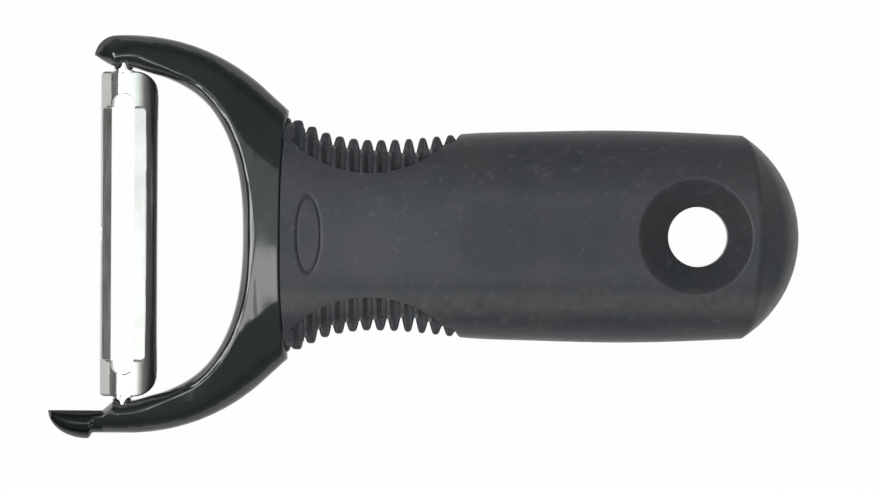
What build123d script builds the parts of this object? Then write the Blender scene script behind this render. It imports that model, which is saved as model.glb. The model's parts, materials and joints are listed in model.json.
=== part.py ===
from build123d import *
import os
from math import cos, radians, sin, sqrt, tan

import numpy as np

# Y-shaped vegetable peeler, lying on the belly of its handle.
# X runs along the handle towards its butt, Y across it, Z up from the table.
# The origin is in the middle of the length, on the table, under the handle's axis.

# Layout along the handle
scoop_reach = 14.7
head_length = 33.1
grip_length = 102.0
overall_length = scoop_reach + head_length + grip_length
scoop_tip_x = -overall_length / 2
pivot_x = scoop_tip_x + scoop_reach
seam_x = pivot_x + head_length
butt_x = seam_x + grip_length

# Layout in height
grip_thickness = 21.0
mid_height = grip_thickness / 2
cut_overrun = 5.0

# Yoke: outer outline, an arc that runs out straight to the collar
yoke_radius = 39.75
yoke_centre_lead = 1.3
yoke_centre_x = pivot_x + yoke_centre_lead
collar_flare_angle = 42.5
arm_tip_reach = 5.35
lower_arm_reach = 6.6
arm_tip_round = 4.5

# Yoke: the throat between the arms, a superellipse with drafted walls
throat_lead = 1.7
throat_depth = 25.6
arm_width = 6.45
throat_half_width = yoke_radius - arm_width
throat_exponent = 2.45
arch_draft_angle = 9.0
arm_draft_angle = 26.0
upper_tip_slope = 29.0
lower_tip_slope = 41.0

# Yoke: thickness, the bulged seam and the rounded outer rim
arm_tip_thickness = 8.6
collar_thickness = 15.6
yoke_waist_share = 0.26
seam_bulge = 1.6
rim_round = 3.4
collar_edge_break = 0.35

# Potato-eye scoop at the end of the lower arm
scoop_length = 8.1
scoop_radius = 5.4
scoop_wall_offset = 1.76
scoop_wall = 0.8
scoop_side_wall = 0.6
scoop_rim_rise = 2.4
scoop_dish_heel = 1.5
scoop_heel = 3.0
scoop_heel_run = 0.9
scoop_heel_rise = 1.3

# Pivots in the arms
pin_radius = 0.6
pin_clearance = 0.05
bore_radius = pin_radius + pin_clearance
boss_radius = 1.6
boss_height = 0.4
boss_root = 2.0
bore_end_gap = 0.4
pin_notch_depth = 1.5

# Tang inside the grip
tang_thickness = 7.0
tang_width = 19.0
tang_end_round = 5.0
tang_root = 4.0
tang_window_count = 3
tang_window_length = 9.0
tang_window_width = 7.0
tang_window_pitch = 17.0
tang_hole_wall = 3.5

# Swivel blade
sheet = 0.6
blade_end_gap = 0.4
flange_edge = 4.5
flange_bend = 2.35
flange_drop = 1.1
apex_start = 0.45
apex_rise = 0.3
slot_half_width = 2.2
wing_edge = 6.7
wing_radius = 5.4
slot_end_wall = 4.4
lip_end_gap = 3.4
left_lip_root = 3.9
left_lip_rise = 0.75
right_lip_root = 4.55
right_lip_rise = 0.95
edge_land = 0.1
flange_corner_round = 0.8
wing_corner_round = 3.2
lip_relief = 0.5
pin_root_radius = 1.0
pin_root_length = 0.9
pin_root_inset = 0.6
pin_length = 3.3

# Grip: the widest half width, and how each station along it follows it
grip_half_width = 21.2
grip_exponent = 2.8
belly_crown = 0.2
station_shares = (-0.023, 0.022, 0.071, 0.130, 0.208, 0.286, 0.345, 0.482, 0.653, 0.875, 1.051)
width_shares = (1.138, 1.075, 0.968, 0.908, 0.903, 0.933, 0.962, 0.986, 1.000, 0.962, 0.912)
thickness_shares = (0.735, 0.735, 0.740, 0.775, 0.860, 0.950, 1.000, 1.000, 1.000, 1.000, 1.000)
section_points = 28

# Grip: rounded butt, turned about a point near the hanging hole
nose_radius = 24.7
nose_setback = 7.0

# Grip: hanging hole with its dished flare
hole_from_butt = 20.2
hole_radius = 6.0
flare_radius = 11.3
flare_depth = 5.0
flare_belly_share = 0.66
flare_lip = 0.9

# Grip: fins along both sides of the neck
fin_pitch = 2.76
fin_count = 12
first_fin = 1.9
fin_tip = 1.2
fin_base = 2.35
middle_row_half = 3.0
slot_count = 11
slot_width = 1.76
slot_shift = 0.32
bay_radius = 22.1
bay_centre_from_seam = 16.2
bay_floor = 12.4
row_station_shares = (0.0, 0.012, 0.035, 0.060, 0.088, 0.142, 0.196, 0.248, 0.276, 0.300, 0.327, 0.342)
row_width_shares = (1.060, 1.040, 0.958, 0.885, 0.845, 0.807, 0.788, 0.778, 0.812, 0.849, 0.892, 0.965)

# Grip: plain oval dimple behind the collar
dimple_from_seam = 4.0
dimple_length = 15.2
dimple_width = 4.8
dimple_depth = 0.35

# Sizes that follow from the ones above
hole_x = butt_x - hole_from_butt
nose_x = butt_x - nose_radius
throat_x = pivot_x - throat_lead
scoop_x = scoop_tip_x + scoop_length
scoop_wall_y = -(throat_half_width + scoop_wall_offset)
boss_y = throat_half_width - boss_height
blade_half_length = boss_y - blade_end_gap
slot_half_length = blade_half_length - slot_end_wall
lip_half_length = slot_half_length - lip_end_gap
bore_end_y = blade_half_length + pin_length + bore_end_gap
tip_half = arm_tip_thickness / 2
collar_half = collar_thickness / 2
seam_edge_x = seam_x - seam_bulge
tang_end_x = hole_x - flare_radius - tang_hole_wall
bay_x = seam_x + bay_centre_from_seam
bay_y = bay_floor + bay_radius
mid_plane = Plane.XY.offset(mid_height)


def superellipse(half_x, half_y, exponent, turn):
    """Point of a superellipse at an angle of its parameter, in radians."""
    power = 2 / exponent
    across = half_x * np.sign(cos(turn)) * abs(cos(turn)) ** power
    along = half_y * np.sign(sin(turn)) * abs(sin(turn)) ** power
    return float(across), float(along)


def throat_outline(grow_depth, grow_width):
    """Closed outline of the throat, open to the left, grown by its draft."""
    depth = throat_depth + grow_depth
    half_width = throat_half_width + grow_width
    turns = [radians(angle) for angle in range(-90, 91, 15)]
    arch = [superellipse(depth, half_width, throat_exponent, turn) for turn in turns]
    far_x = scoop_tip_x - cut_overrun
    upper_rise = (throat_x - far_x) * tan(radians(upper_tip_slope))
    lower_y = scoop_wall_y - grow_width
    lower_run = (half_width + lower_y) / tan(radians(lower_tip_slope))
    with BuildLine() as outline:
        Spline(
            *[(throat_x + x, y) for x, y in arch],
            tangents=[(1, 0), (-1, 0)],
        )
        Polyline(
            (throat_x, half_width),
            (far_x, half_width + upper_rise),
            (far_x, lower_y),
            (throat_x + lower_run, lower_y),
            (throat_x, -half_width),
        )
    return outline.line


def interpolate(x, shares_along, shares_across, whole):
    """Size of the grip at a place along it, from its stations."""
    along = [seam_x + share * grip_length for share in shares_along]
    across = [share * whole for share in shares_across]
    return float(np.interp(x, along, across))


def bowl_points(centre_x, wall_y, length, radius):
    """Edge of a bowl in plan: a quarter ellipse, blunt where it meets the wall."""
    quarter = [superellipse(length, radius, 2, radians(angle)) for angle in (3, 20, 40, 60, 75, 90)]
    return [(centre_x + x, wall_y - y) for x, y in quarter]


def arm_plane(side):
    """Plane on the face of a pivot boss, looking out through the arm."""
    origin = (pivot_x, side * boss_y, mid_height)
    return Plane(origin=origin, x_dir=(1, 0, 0), z_dir=(0, side, 0))


# Tang: the flat bar that runs from the yoke through the grip
with BuildPart() as tang:
    with BuildSketch(mid_plane):
        tang_length = tang_end_x - seam_edge_x + tang_root
        with Locations((tang_end_x - tang_length / 2, 0)):
            RectangleRounded(tang_length, tang_width, tang_end_round)
        with Locations(((seam_x + tang_end_x) / 2, 0)):
            with GridLocations(tang_window_pitch, 0, tang_window_count, 1):
                SlotOverall(tang_window_length, tang_window_width, mode=Mode.SUBTRACT)
    extrude(amount=tang_thickness / 2, both=True)

# Yoke: arms, arch, collar, scoop and pivot bosses, in one moulding with the tang
with BuildPart() as yoke_frame:
    with BuildSketch(mid_plane):
        flare = radians(collar_flare_angle)
        straight_x = yoke_centre_x + yoke_radius * sin(flare)
        straight_y = yoke_radius * cos(flare)
        collar_x = seam_x + cut_overrun
        collar_y = straight_y - (collar_x - straight_x) * tan(flare)
        upper_tip_x = pivot_x - arm_tip_reach
        lower_tip_x = pivot_x - lower_arm_reach
        upper_tip_y = sqrt(yoke_radius**2 - (upper_tip_x - yoke_centre_x) ** 2)
        lower_tip_y = -sqrt(yoke_radius**2 - (lower_tip_x - yoke_centre_x) ** 2)
        with BuildLine():
            Polyline(
                (straight_x, straight_y),
                (collar_x, collar_y),
                (collar_x, -collar_y),
                (straight_x, -straight_y),
            )
            ThreePointArc(
                (straight_x, straight_y),
                (yoke_centre_x, yoke_radius),
                (upper_tip_x, upper_tip_y),
            )
            ThreePointArc(
                (straight_x, -straight_y),
                (yoke_centre_x, -yoke_radius),
                (lower_tip_x, lower_tip_y),
            )
            Line((upper_tip_x, upper_tip_y), (lower_tip_x, lower_tip_y))
        make_face()
        upper_corner = vertices().sort_by_distance((upper_tip_x, upper_tip_y, mid_height))[0]
        fillet(upper_corner, arm_tip_round)
    extrude(amount=mid_height, both=True)

    # Side profile: thick at the collar, thin at the arms, bulged into the grip
    with BuildSketch(Plane.XZ):
        far_x = scoop_tip_x - cut_overrun
        waist_x = (far_x + seam_edge_x) / 2
        waist = tip_half + (collar_half - tip_half) * yoke_waist_share
        with BuildLine():
            ThreePointArc(
                (far_x, mid_height + tip_half),
                (waist_x, mid_height + waist),
                (seam_edge_x, mid_height + collar_half),
            )
            ThreePointArc(
                (seam_edge_x, mid_height + collar_half),
                (seam_x, mid_height),
                (seam_edge_x, mid_height - collar_half),
            )
            ThreePointArc(
                (seam_edge_x, mid_height - collar_half),
                (waist_x, mid_height - waist),
                (far_x, mid_height - tip_half),
            )
            Line((far_x, mid_height - tip_half), (far_x, mid_height + tip_half))
        make_face()
    extrude(amount=yoke_radius + cut_overrun, both=True, mode=Mode.INTERSECT)
    broad_faces = faces().filter_by(lambda face: abs(face.normal_at().Z) > abs(face.normal_at().X))
    broad_faces = broad_faces.sort_by(SortBy.AREA)[-2:]
    rim_edges = broad_faces.edges().sort_by(Axis.X)[:-2]
    fillet(rim_edges, rim_round)
    seam_face = faces().filter_by(GeomType.CYLINDER).sort_by(Axis.X)[-1]
    chamfer(seam_face.edges(), collar_edge_break)

    # Throat, drafted both ways from the middle plane
    grow_depth = mid_height * tan(radians(arch_draft_angle))
    grow_width = mid_height * tan(radians(arm_draft_angle))
    for side in (1, -1):
        with BuildSketch(mid_plane):
            add(throat_outline(0, 0))
            make_face()
        with BuildSketch(mid_plane.offset(side * mid_height)):
            add(throat_outline(grow_depth, grow_width))
            make_face()
        loft(ruled=True, mode=Mode.SUBTRACT)

    # Scoop: a quarter of a spheroid, hollowed to a dish, with its rim to the front
    rim_height = mid_height + scoop_rim_rise
    rim_plane = Plane.XY.offset(rim_height)
    heel_y = scoop_wall_y - scoop_radius + scoop_heel_rise
    with BuildSketch(rim_plane):
        with BuildLine():
            bowl_edge = bowl_points(scoop_x, scoop_wall_y, -scoop_length, scoop_radius)
            Spline(*bowl_edge, tangents=[(0, -1), (1, 0)])
            Polyline(
                bowl_edge[-1],
                (scoop_x + scoop_heel_run, heel_y),
                (scoop_x + scoop_heel, heel_y),
                (scoop_x + scoop_heel, scoop_wall_y),
                (bowl_edge[0][0], scoop_wall_y),
                bowl_edge[0],
            )
        make_face()
    revolve(axis=Axis((scoop_x, scoop_wall_y, rim_height), (1, 0, 0)), revolution_arc=90)

    dish_y = scoop_wall_y - scoop_side_wall
    dish_radius = scoop_radius - scoop_side_wall - scoop_wall
    dish_length = scoop_length - scoop_side_wall - scoop_wall
    with BuildSketch(rim_plane) as dish:
        with BuildLine():
            dish_edge = bowl_points(scoop_x, dish_y, -dish_length, dish_radius)
            heel_edge = bowl_points(scoop_x, dish_y, scoop_dish_heel, dish_radius)
            Spline(*dish_edge, tangents=[(0, -1), (1, 0)])
            Spline(*heel_edge, tangents=[(0, -1), (-1, 0)])
            Polyline(
                heel_edge[0],
                (heel_edge[0][0], dish_y),
                (dish_edge[0][0], dish_y),
                dish_edge[0],
            )
        make_face()
    dish_axis = Axis((scoop_x, dish_y, rim_height), (1, 0, 0))
    revolve(axis=dish_axis, revolution_arc=90, mode=Mode.SUBTRACT)
    extrude(dish.sketch, amount=mid_height, mode=Mode.SUBTRACT)

    # Pivot bosses, their blind bores, and the notches that show the pins from the front
    for side in (1, -1):
        with BuildSketch(arm_plane(side)):
            Circle(boss_radius)
        extrude(amount=boss_height + boss_root)
        with BuildSketch(mid_plane):
            with Locations((pivot_x, side * (boss_y + pin_notch_depth / 2))):
                Rectangle(2 * bore_radius, pin_notch_depth)
        extrude(amount=mid_height, mode=Mode.SUBTRACT)
        with BuildSketch(arm_plane(side)):
            Circle(bore_radius)
        extrude(amount=bore_end_y - boss_y, mode=Mode.SUBTRACT)
    add(tang.part)

# Swivel blade: one stamping, bent along its length, with its slot, lips and pins
with BuildPart() as swivel_blade:
    blade_plane = Plane(origin=(pivot_x, 0, mid_height), x_dir=(1, 0, 0), z_dir=(0, -1, 0))
    half_sheet = sheet / 2
    roll_drop = wing_radius - sqrt(wing_radius**2 - (wing_edge - slot_half_width) ** 2)
    roll_mid_run = (wing_edge - slot_half_width) / 2
    roll_mid_drop = wing_radius - sqrt(wing_radius**2 - roll_mid_run**2)
    with BuildSketch(blade_plane):
        with BuildLine() as section:
            Polyline(
                (-flange_edge, -flange_drop),
                (-flange_bend, -flange_drop),
                (-apex_start, apex_rise),
                (slot_half_width, apex_rise),
            )
            ThreePointArc(
                (slot_half_width, apex_rise),
                (slot_half_width + roll_mid_run, apex_rise - roll_mid_drop),
                (wing_edge, apex_rise - roll_drop),
            )
        trace(line_width=sheet)
    extrude(amount=blade_half_length, both=True)
    with BuildSketch(mid_plane):
        with Locations((pivot_x + (wing_edge - flange_edge) / 2, 0)):
            Rectangle(wing_edge + flange_edge + sheet, 2 * blade_half_length)
        fillet(vertices().group_by(Axis.X)[0], flange_corner_round)
        fillet(vertices().group_by(Axis.X)[-1], wing_corner_round)
    extrude(amount=mid_height, both=True, mode=Mode.INTERSECT)

    # Slot and the two windows whose metal is turned up as lips
    with BuildSketch(mid_plane):
        with Locations((pivot_x, 0)):
            SlotOverall(2 * slot_half_length, 2 * slot_half_width, rotation=90)
        with Locations((pivot_x + (right_lip_root + slot_half_width) / 2, 0)):
            Rectangle(right_lip_root - slot_half_width, 2 * (lip_half_length + lip_relief))
        with Locations((pivot_x - (left_lip_root + slot_half_width) / 2, 0)):
            Rectangle(left_lip_root - slot_half_width, 2 * (lip_half_length + lip_relief))
    extrude(amount=mid_height, both=True, mode=Mode.SUBTRACT)
    lip_run = right_lip_root - slot_half_width
    lip_drop = wing_radius - sqrt(wing_radius**2 - lip_run**2)
    with BuildSketch(blade_plane):
        with BuildLine():
            Polyline(
                (-left_lip_root - edge_land, -flange_drop - half_sheet),
                (-left_lip_root - edge_land, -flange_drop + half_sheet),
                (-slot_half_width, left_lip_rise),
                (-slot_half_width, left_lip_rise - edge_land),
                close=True,
            )
        make_face()
        with BuildLine():
            Polyline(
                (right_lip_root + edge_land, apex_rise - lip_drop - half_sheet),
                (right_lip_root + edge_land, apex_rise - lip_drop + half_sheet),
                (slot_half_width, right_lip_rise),
                (slot_half_width, right_lip_rise - edge_land),
                close=True,
            )
        make_face()
    extrude(amount=lip_half_length, both=True)

    # Pins with their cone-shaped roots
    for side in (1, -1):
        root_y = side * (blade_half_length - pin_root_inset)
        pin_plane = Plane(origin=(pivot_x, root_y, mid_height), x_dir=(1, 0, 0), z_dir=(0, side, 0))
        with BuildSketch(pin_plane):
            Circle(pin_radius)
        extrude(amount=pin_root_inset + pin_length)
        with Locations(pin_plane):
            Cone(
                pin_root_radius,
                pin_radius,
                pin_root_length,
                align=(Align.CENTER, Align.CENTER, Align.MIN),
            )

# Grip: lofted through its stations, moulded over the tang
with BuildPart() as grip:
    turns = [radians(360 * index / section_points) for index in range(section_points)]
    for along, across, thick in zip(station_shares, width_shares, thickness_shares):
        station = Plane(origin=(seam_x + along * grip_length, 0, mid_height), x_dir=(0, 1, 0), z_dir=(1, 0, 0))
        half_width = across * grip_half_width
        half_height = thick * (mid_height + belly_crown)
        with BuildSketch(station):
            with BuildLine():
                ring = [superellipse(half_width, half_height, grip_exponent, turn) for turn in turns]
                Spline(*ring, periodic=True)
            make_face()
    loft()

    # Flat belly and front, and the hollow end face that meets the yoke
    with BuildSketch(Plane.XY):
        Rectangle(2 * overall_length, 4 * grip_half_width)
    extrude(amount=grip_thickness, mode=Mode.INTERSECT)
    with BuildSketch(Plane.XZ):
        with BuildLine():
            ThreePointArc(
                (seam_edge_x, mid_height + collar_half),
                (seam_x, mid_height),
                (seam_edge_x, mid_height - collar_half),
            )
            Polyline(
                (seam_edge_x, mid_height - collar_half),
                (seam_edge_x, -cut_overrun),
                (seam_edge_x - cut_overrun, -cut_overrun),
                (seam_edge_x - cut_overrun, grip_thickness + cut_overrun),
                (seam_edge_x, grip_thickness + cut_overrun),
                (seam_edge_x, mid_height + collar_half),
            )
        make_face()
    extrude(amount=2 * grip_half_width, both=True, mode=Mode.SUBTRACT)

    # Butt: everything outside a rounded nose that is turned about an upright axis
    nose_plane = Plane(origin=(nose_x, 0, mid_height), x_dir=(0, -1, 0), z_dir=(-1, 0, 0))
    with BuildSketch(nose_plane):
        with BuildLine():
            ThreePointArc(
                (nose_radius - nose_setback, -mid_height),
                (nose_radius, 0),
                (nose_radius - nose_setback, mid_height),
            )
            Polyline(
                (nose_radius - nose_setback, mid_height),
                (nose_radius - nose_setback, mid_height + cut_overrun),
                (2 * nose_radius, mid_height + cut_overrun),
                (2 * nose_radius, -mid_height - cut_overrun),
                (nose_radius - nose_setback, -mid_height - cut_overrun),
                (nose_radius - nose_setback, -mid_height),
            )
        make_face()
    revolve(axis=Axis((nose_x, 0, 0), (0, 0, 1)), revolution_arc=180, mode=Mode.SUBTRACT)

    # Hanging hole with a dished flare on each of its mouths
    flare_run = flare_radius - hole_radius
    throat_end = mid_height - flare_depth
    belly_end = mid_height - flare_depth * flare_belly_share
    beyond_z = mid_height + cut_overrun
    hole_plane = Plane(origin=(hole_x, 0, mid_height), x_dir=(1, 0, 0), z_dir=(0, -1, 0))
    with BuildSketch(hole_plane):
        with BuildLine():
            for side in (1, -1):
                Spline(
                    (hole_radius, side * throat_end),
                    (hole_radius + flare_run * flare_belly_share, side * belly_end),
                    (flare_radius, side * mid_height),
                    (flare_radius + flare_lip, side * beyond_z),
                )
                Line((flare_radius + flare_lip, side * beyond_z), (0, side * beyond_z))
            Line((0, -beyond_z), (0, beyond_z))
            Line((hole_radius, -throat_end), (hole_radius, throat_end))
        make_face()
    revolve(axis=Axis((hole_x, 0, 0), (0, 0, 1)), mode=Mode.SUBTRACT)

    # Fins: the outer rows stand back from the middle row, with slots down to the bay
    row_xs = [seam_x + share * grip_length for share in row_station_shares]
    row_ys = [share * grip_half_width for share in row_width_shares]
    slot_xs = [seam_x + first_fin + slot_shift + index * fin_pitch for index in range(slot_count)]
    beyond_y = grip_half_width + cut_overrun
    for side in (1, -1):
        for face_side in (1, -1):
            row_plane = mid_plane.offset(face_side * middle_row_half)
            with BuildSketch(row_plane):
                with BuildLine():
                    Spline(*[(x, side * y) for x, y in zip(row_xs, row_ys)])
                    Polyline(
                        (row_xs[-1], side * row_ys[-1]),
                        (row_xs[-1], side * beyond_y),
                        (row_xs[0], side * beyond_y),
                        (row_xs[0], side * row_ys[0]),
                    )
                make_face()
            extrude(amount=face_side * mid_height, mode=Mode.SUBTRACT)
            with BuildSketch(row_plane):
                with Locations(*[(x, side * beyond_y / 2) for x in slot_xs]):
                    Rectangle(slot_width, beyond_y)
                with Locations((bay_x, side * bay_y)):
                    Circle(bay_radius, mode=Mode.INTERSECT)
            extrude(amount=face_side * mid_height, mode=Mode.SUBTRACT)

    # Fins: notches between the tall teeth of the middle row
    notch_xs = [seam_x + first_fin + (index - 1 / 2) * fin_pitch for index in range(fin_count + 1)]
    root_half = (fin_pitch - fin_base) / 2
    tip_half_gap = (fin_pitch - fin_tip) / 2
    with BuildSketch(mid_plane):
        for x in notch_xs:
            root_y = interpolate(x, row_station_shares, row_width_shares, grip_half_width)
            outer_y = interpolate(x, station_shares, width_shares, grip_half_width)
            for side in (1, -1):
                flare_rate = (tip_half_gap - root_half) / (outer_y - root_y)
                far_half = root_half + (beyond_y - root_y) * flare_rate
                with BuildLine():
                    Polyline(
                        (x - root_half, side * root_y),
                        (x + root_half, side * root_y),
                        (x + far_half, side * beyond_y),
                        (x - far_half, side * beyond_y),
                        close=True,
                    )
                make_face()
    extrude(amount=mid_height, both=True, mode=Mode.SUBTRACT)

    # Plain oval dimple, and the space that the tang fills
    dimple_x = seam_x + dimple_from_seam
    face_height = interpolate(dimple_x, station_shares, thickness_shares, mid_height)
    with BuildSketch(mid_plane.offset(face_height - dimple_depth)):
        with Locations((dimple_x, 0)):
            Ellipse(dimple_width / 2, dimple_length / 2)
    extrude(amount=mid_height, mode=Mode.SUBTRACT)
    add(tang.part, mode=Mode.SUBTRACT)

yoke_frame.part.label = "yoke_frame"
swivel_blade.part.label = "swivel_blade"
grip.part.label = "grip"
os.makedirs("parts", exist_ok=True)
for piece in (yoke_frame, swivel_blade, grip):
    export_step(piece.part, f"parts/{piece.part.label}.step")
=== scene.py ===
"""Vegetable peeler: a glossy yoke, a swivelling steel blade and a finned rubber grip.

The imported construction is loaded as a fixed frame. Each piece is then worked out as smooth
surfaces on grids, in millimetres, with heights counted from the middle plane of the handle,
and stands for the solid of the same name.
"""

import json
import logging
import math
from dataclasses import dataclass
from enum import Enum

import bmesh
import bpy
import numpy as np
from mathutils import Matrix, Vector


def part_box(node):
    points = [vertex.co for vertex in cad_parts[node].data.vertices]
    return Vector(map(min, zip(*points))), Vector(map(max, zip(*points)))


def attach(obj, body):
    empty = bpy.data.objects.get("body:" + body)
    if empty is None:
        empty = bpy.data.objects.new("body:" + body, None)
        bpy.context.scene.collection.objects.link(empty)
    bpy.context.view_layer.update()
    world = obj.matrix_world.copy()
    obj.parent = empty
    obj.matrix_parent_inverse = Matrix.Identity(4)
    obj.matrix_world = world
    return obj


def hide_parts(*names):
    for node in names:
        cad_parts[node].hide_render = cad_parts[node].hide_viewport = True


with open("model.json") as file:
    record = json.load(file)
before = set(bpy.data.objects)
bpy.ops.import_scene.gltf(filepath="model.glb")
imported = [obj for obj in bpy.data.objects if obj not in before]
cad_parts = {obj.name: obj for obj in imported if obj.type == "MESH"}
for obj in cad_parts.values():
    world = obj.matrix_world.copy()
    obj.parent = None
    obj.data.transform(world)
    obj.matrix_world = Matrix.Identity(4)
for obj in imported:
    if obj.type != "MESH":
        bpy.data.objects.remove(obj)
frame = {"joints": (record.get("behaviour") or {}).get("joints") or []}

Array = np.ndarray
MM = 0.001
WHITE = (1.0, 1.0, 1.0)
log = logging.getLogger("peeler")


class Body(Enum):
    """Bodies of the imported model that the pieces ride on."""

    FRAME = "frame"
    BLADE = "blade"


class Slot(Enum):
    """Material slots of the record."""

    YOKE = "yoke_plastic"
    BLADE = "blade_steel"
    GRIP = "grip_rubber"


class Shows(Enum):
    """Where a lamp's light is seen: on matt surfaces, in reflections or both."""

    BOTH = 0
    MATT = 1
    GLOSS = 2


class Side(Enum):
    """The two sides of the peeler, across the handle: the lower arm has the scoop."""

    UPPER = 1
    LOWER = -1


def smoothstep(value: Array) -> Array:
    """Soft step from 0 to 1 as the value goes from 0 to 1: 3v^2 - 2v^3.

    Args:
        value: Any array.

    Returns:
        The step, between 0 and 1.
    """
    clipped = np.clip(value, 0.0, 1.0)
    return clipped * clipped * (3.0 - 2.0 * clipped)


def soft_min(first: Array, second: Array, width: float) -> Array:
    """Smaller of two heights, with the crease where they cross rounded over a width.

    The blend takes off a quarter of the width at the crossing and nothing a width away.
    """
    share = np.clip(0.5 + 0.5 * (second - first) / width, 0.0, 1.0)
    return second + (first - second) * share - width * share * (1.0 - share)


def smooth_curve(value: Array, knots: Array, heights: Array) -> Array:
    """Cubic through knots: each stretch is a Hermite cubic whose end slopes are its neighbours' chords.

    Args:
        value: Places at which the curve is wanted.
        knots: Rising places of the knots.
        heights: The curve at the knots.

    Returns:
        The curve at the places.
    """
    slopes = np.gradient(heights, knots)
    index = np.clip(np.searchsorted(knots, value) - 1, 0, len(knots) - 2)
    span = knots[index + 1] - knots[index]
    part = np.clip((value - knots[index]) / span, 0.0, 1.0)
    low, high = heights[index], heights[index + 1]
    bend = part * part * (3.0 - 2.0 * part)
    rise = part * (1.0 - part) ** 2 * slopes[index] * span
    fall = part**2 * (1.0 - part) * slopes[index + 1] * span
    return low + (high - low) * bend + rise - fall


Value = bpy.types.NodeSocket | float | tuple


def eased(count: int, power: float) -> Array:
    """Steps from 0 to 1 that close up towards 1: 1 - (1 - s)^power."""
    return 1.0 - (1.0 - np.linspace(0.0, 1.0, count)) ** power


def ellipse_fall(share: Array) -> Array:
    """Fall of a quarter ellipse, from 0 at its crown to 1 at its edge: 1 - sqrt(1 - s^2)."""
    return 1.0 - np.sqrt(1.0 - share**2)


def signed_power(value: Array, power: float) -> Array:
    """Power of a value's size, with the value's sign."""
    return np.sign(value) * np.abs(value) ** power


def full_turn(count: int) -> Array:
    """Even angles round a full turn, without its end."""
    return np.linspace(0.0, 2 * math.pi, count, endpoint=False)


def add_to_scene(name: str, data: bpy.types.ID) -> bpy.types.Object:
    """A new object for a mesh, a lamp or a camera, in the scene's collection.

    Args:
        name: Plain name of the object.
        data: Its mesh, lamp or camera.

    Returns:
        The object, at the origin.
    """
    thing = bpy.data.objects.new(name, data)
    bpy.context.scene.collection.objects.link(thing)
    return thing


@dataclass
class Shell:
    """Points on a grid of rows and columns, and how the grid closes.

    Attributes:
        points: Array of rows by columns by 3, in millimetres.
        wrap_rows: The last row joins the first.
        wrap_columns: The last column joins the first.
        cap_ends: A fan closes the first and the last row.
    """

    points: Array
    wrap_rows: bool = False
    wrap_columns: bool = True
    cap_ends: bool = False

    def vertices(self) -> Array:
        """Grid points in a row, followed by the centres of the end fans."""
        flat = self.points.reshape(-1, 3)
        if not self.cap_ends:
            return flat
        return np.vstack([flat, self.points[0].mean(axis=0), self.points[-1].mean(axis=0)])

    def faces(self, start: int) -> list[list[int]]:
        """Quads of the grid and triangles of its fans, numbered from a first vertex."""
        rows, columns = self.points.shape[:2]
        index = start + np.arange(rows * columns).reshape(rows, columns)
        if self.wrap_rows:
            index = np.vstack([index, index[:1]])
        if self.wrap_columns:
            index = np.hstack([index, index[:, :1]])
        corners = (index[:-1, :-1], index[:-1, 1:], index[1:, 1:], index[1:, :-1])
        faces = np.stack(corners, axis=-1).reshape(-1, 4).tolist()
        if self.cap_ends:
            centre = np.full(index.shape[1] - 1, start + rows * columns)
            faces += np.stack([index[0, 1:], index[0, :-1], centre], axis=-1).tolist()
            faces += np.stack([index[-1, :-1], index[-1, 1:], centre + 1], axis=-1).tolist()
        return faces


@dataclass(frozen=True)
class Layout:
    """Places that the construction gives, in millimetres.

    Attributes:
        pivot_x: Where the blade's pivot axis crosses the handle's axis.
        mid_height: Height of the middle plane over the table.
        seam_x: Where the yoke meets the grip on the middle plane.
        butt_x: Far end of the grip.
        seam_bulge: How far the yoke's end bulges into the grip.
    """

    pivot_x: float
    mid_height: float
    seam_x: float
    butt_x: float
    seam_bulge: float = 1.6

    @classmethod
    def from_frame(cls) -> "Layout":
        """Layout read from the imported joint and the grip's box."""
        pivot = frame["joints"][0]["pos_m"]
        low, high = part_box("grip")
        return cls(
            pivot_x=pivot[0] / MM,
            mid_height=pivot[2] / MM,
            seam_x=low.x / MM + cls.seam_bulge,
            butt_x=high.x / MM,
        )

    def seam_at(self, height: Array, collar_half: float) -> Array:
        """X of the bulged seam at a height: it falls back with the square of the height."""
        return self.seam_x - self.seam_bulge * (height / collar_half) ** 2


def make_piece(name: str, shells: list[Shell], layout: Layout, crease: float) -> bpy.types.Object:
    """One object from several shells, welded, with its faces outwards and its creases sharp.

    Args:
        name: Plain name of the piece.
        shells: Its surfaces, with heights counted from the middle plane.
        layout: Gives the height of the middle plane.
        crease: Angle in degrees from which an edge stays sharp.

    Returns:
        The object, at the origin, in metres.
    """
    vertices, faces, start = [], [], 0
    for shell in shells:
        points = shell.vertices()
        vertices.append(points)
        faces += shell.faces(start)
        start += len(points)
    placed = (np.vstack(vertices) + [0.0, 0.0, layout.mid_height]) * MM
    mesh = bpy.data.meshes.new(name)
    mesh.from_pydata(placed.tolist(), [], faces)
    work = bmesh.new()
    work.from_mesh(mesh)
    bmesh.ops.remove_doubles(work, verts=work.verts, dist=0.002 * MM)
    bmesh.ops.dissolve_degenerate(work, edges=work.edges, dist=0.001 * MM)
    bmesh.ops.recalc_face_normals(work, faces=work.faces)
    work.to_mesh(mesh)
    work.free()
    mesh.shade_smooth()
    mesh.set_sharp_from_angle(angle=math.radians(crease))
    return add_to_scene(name, mesh)


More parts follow.
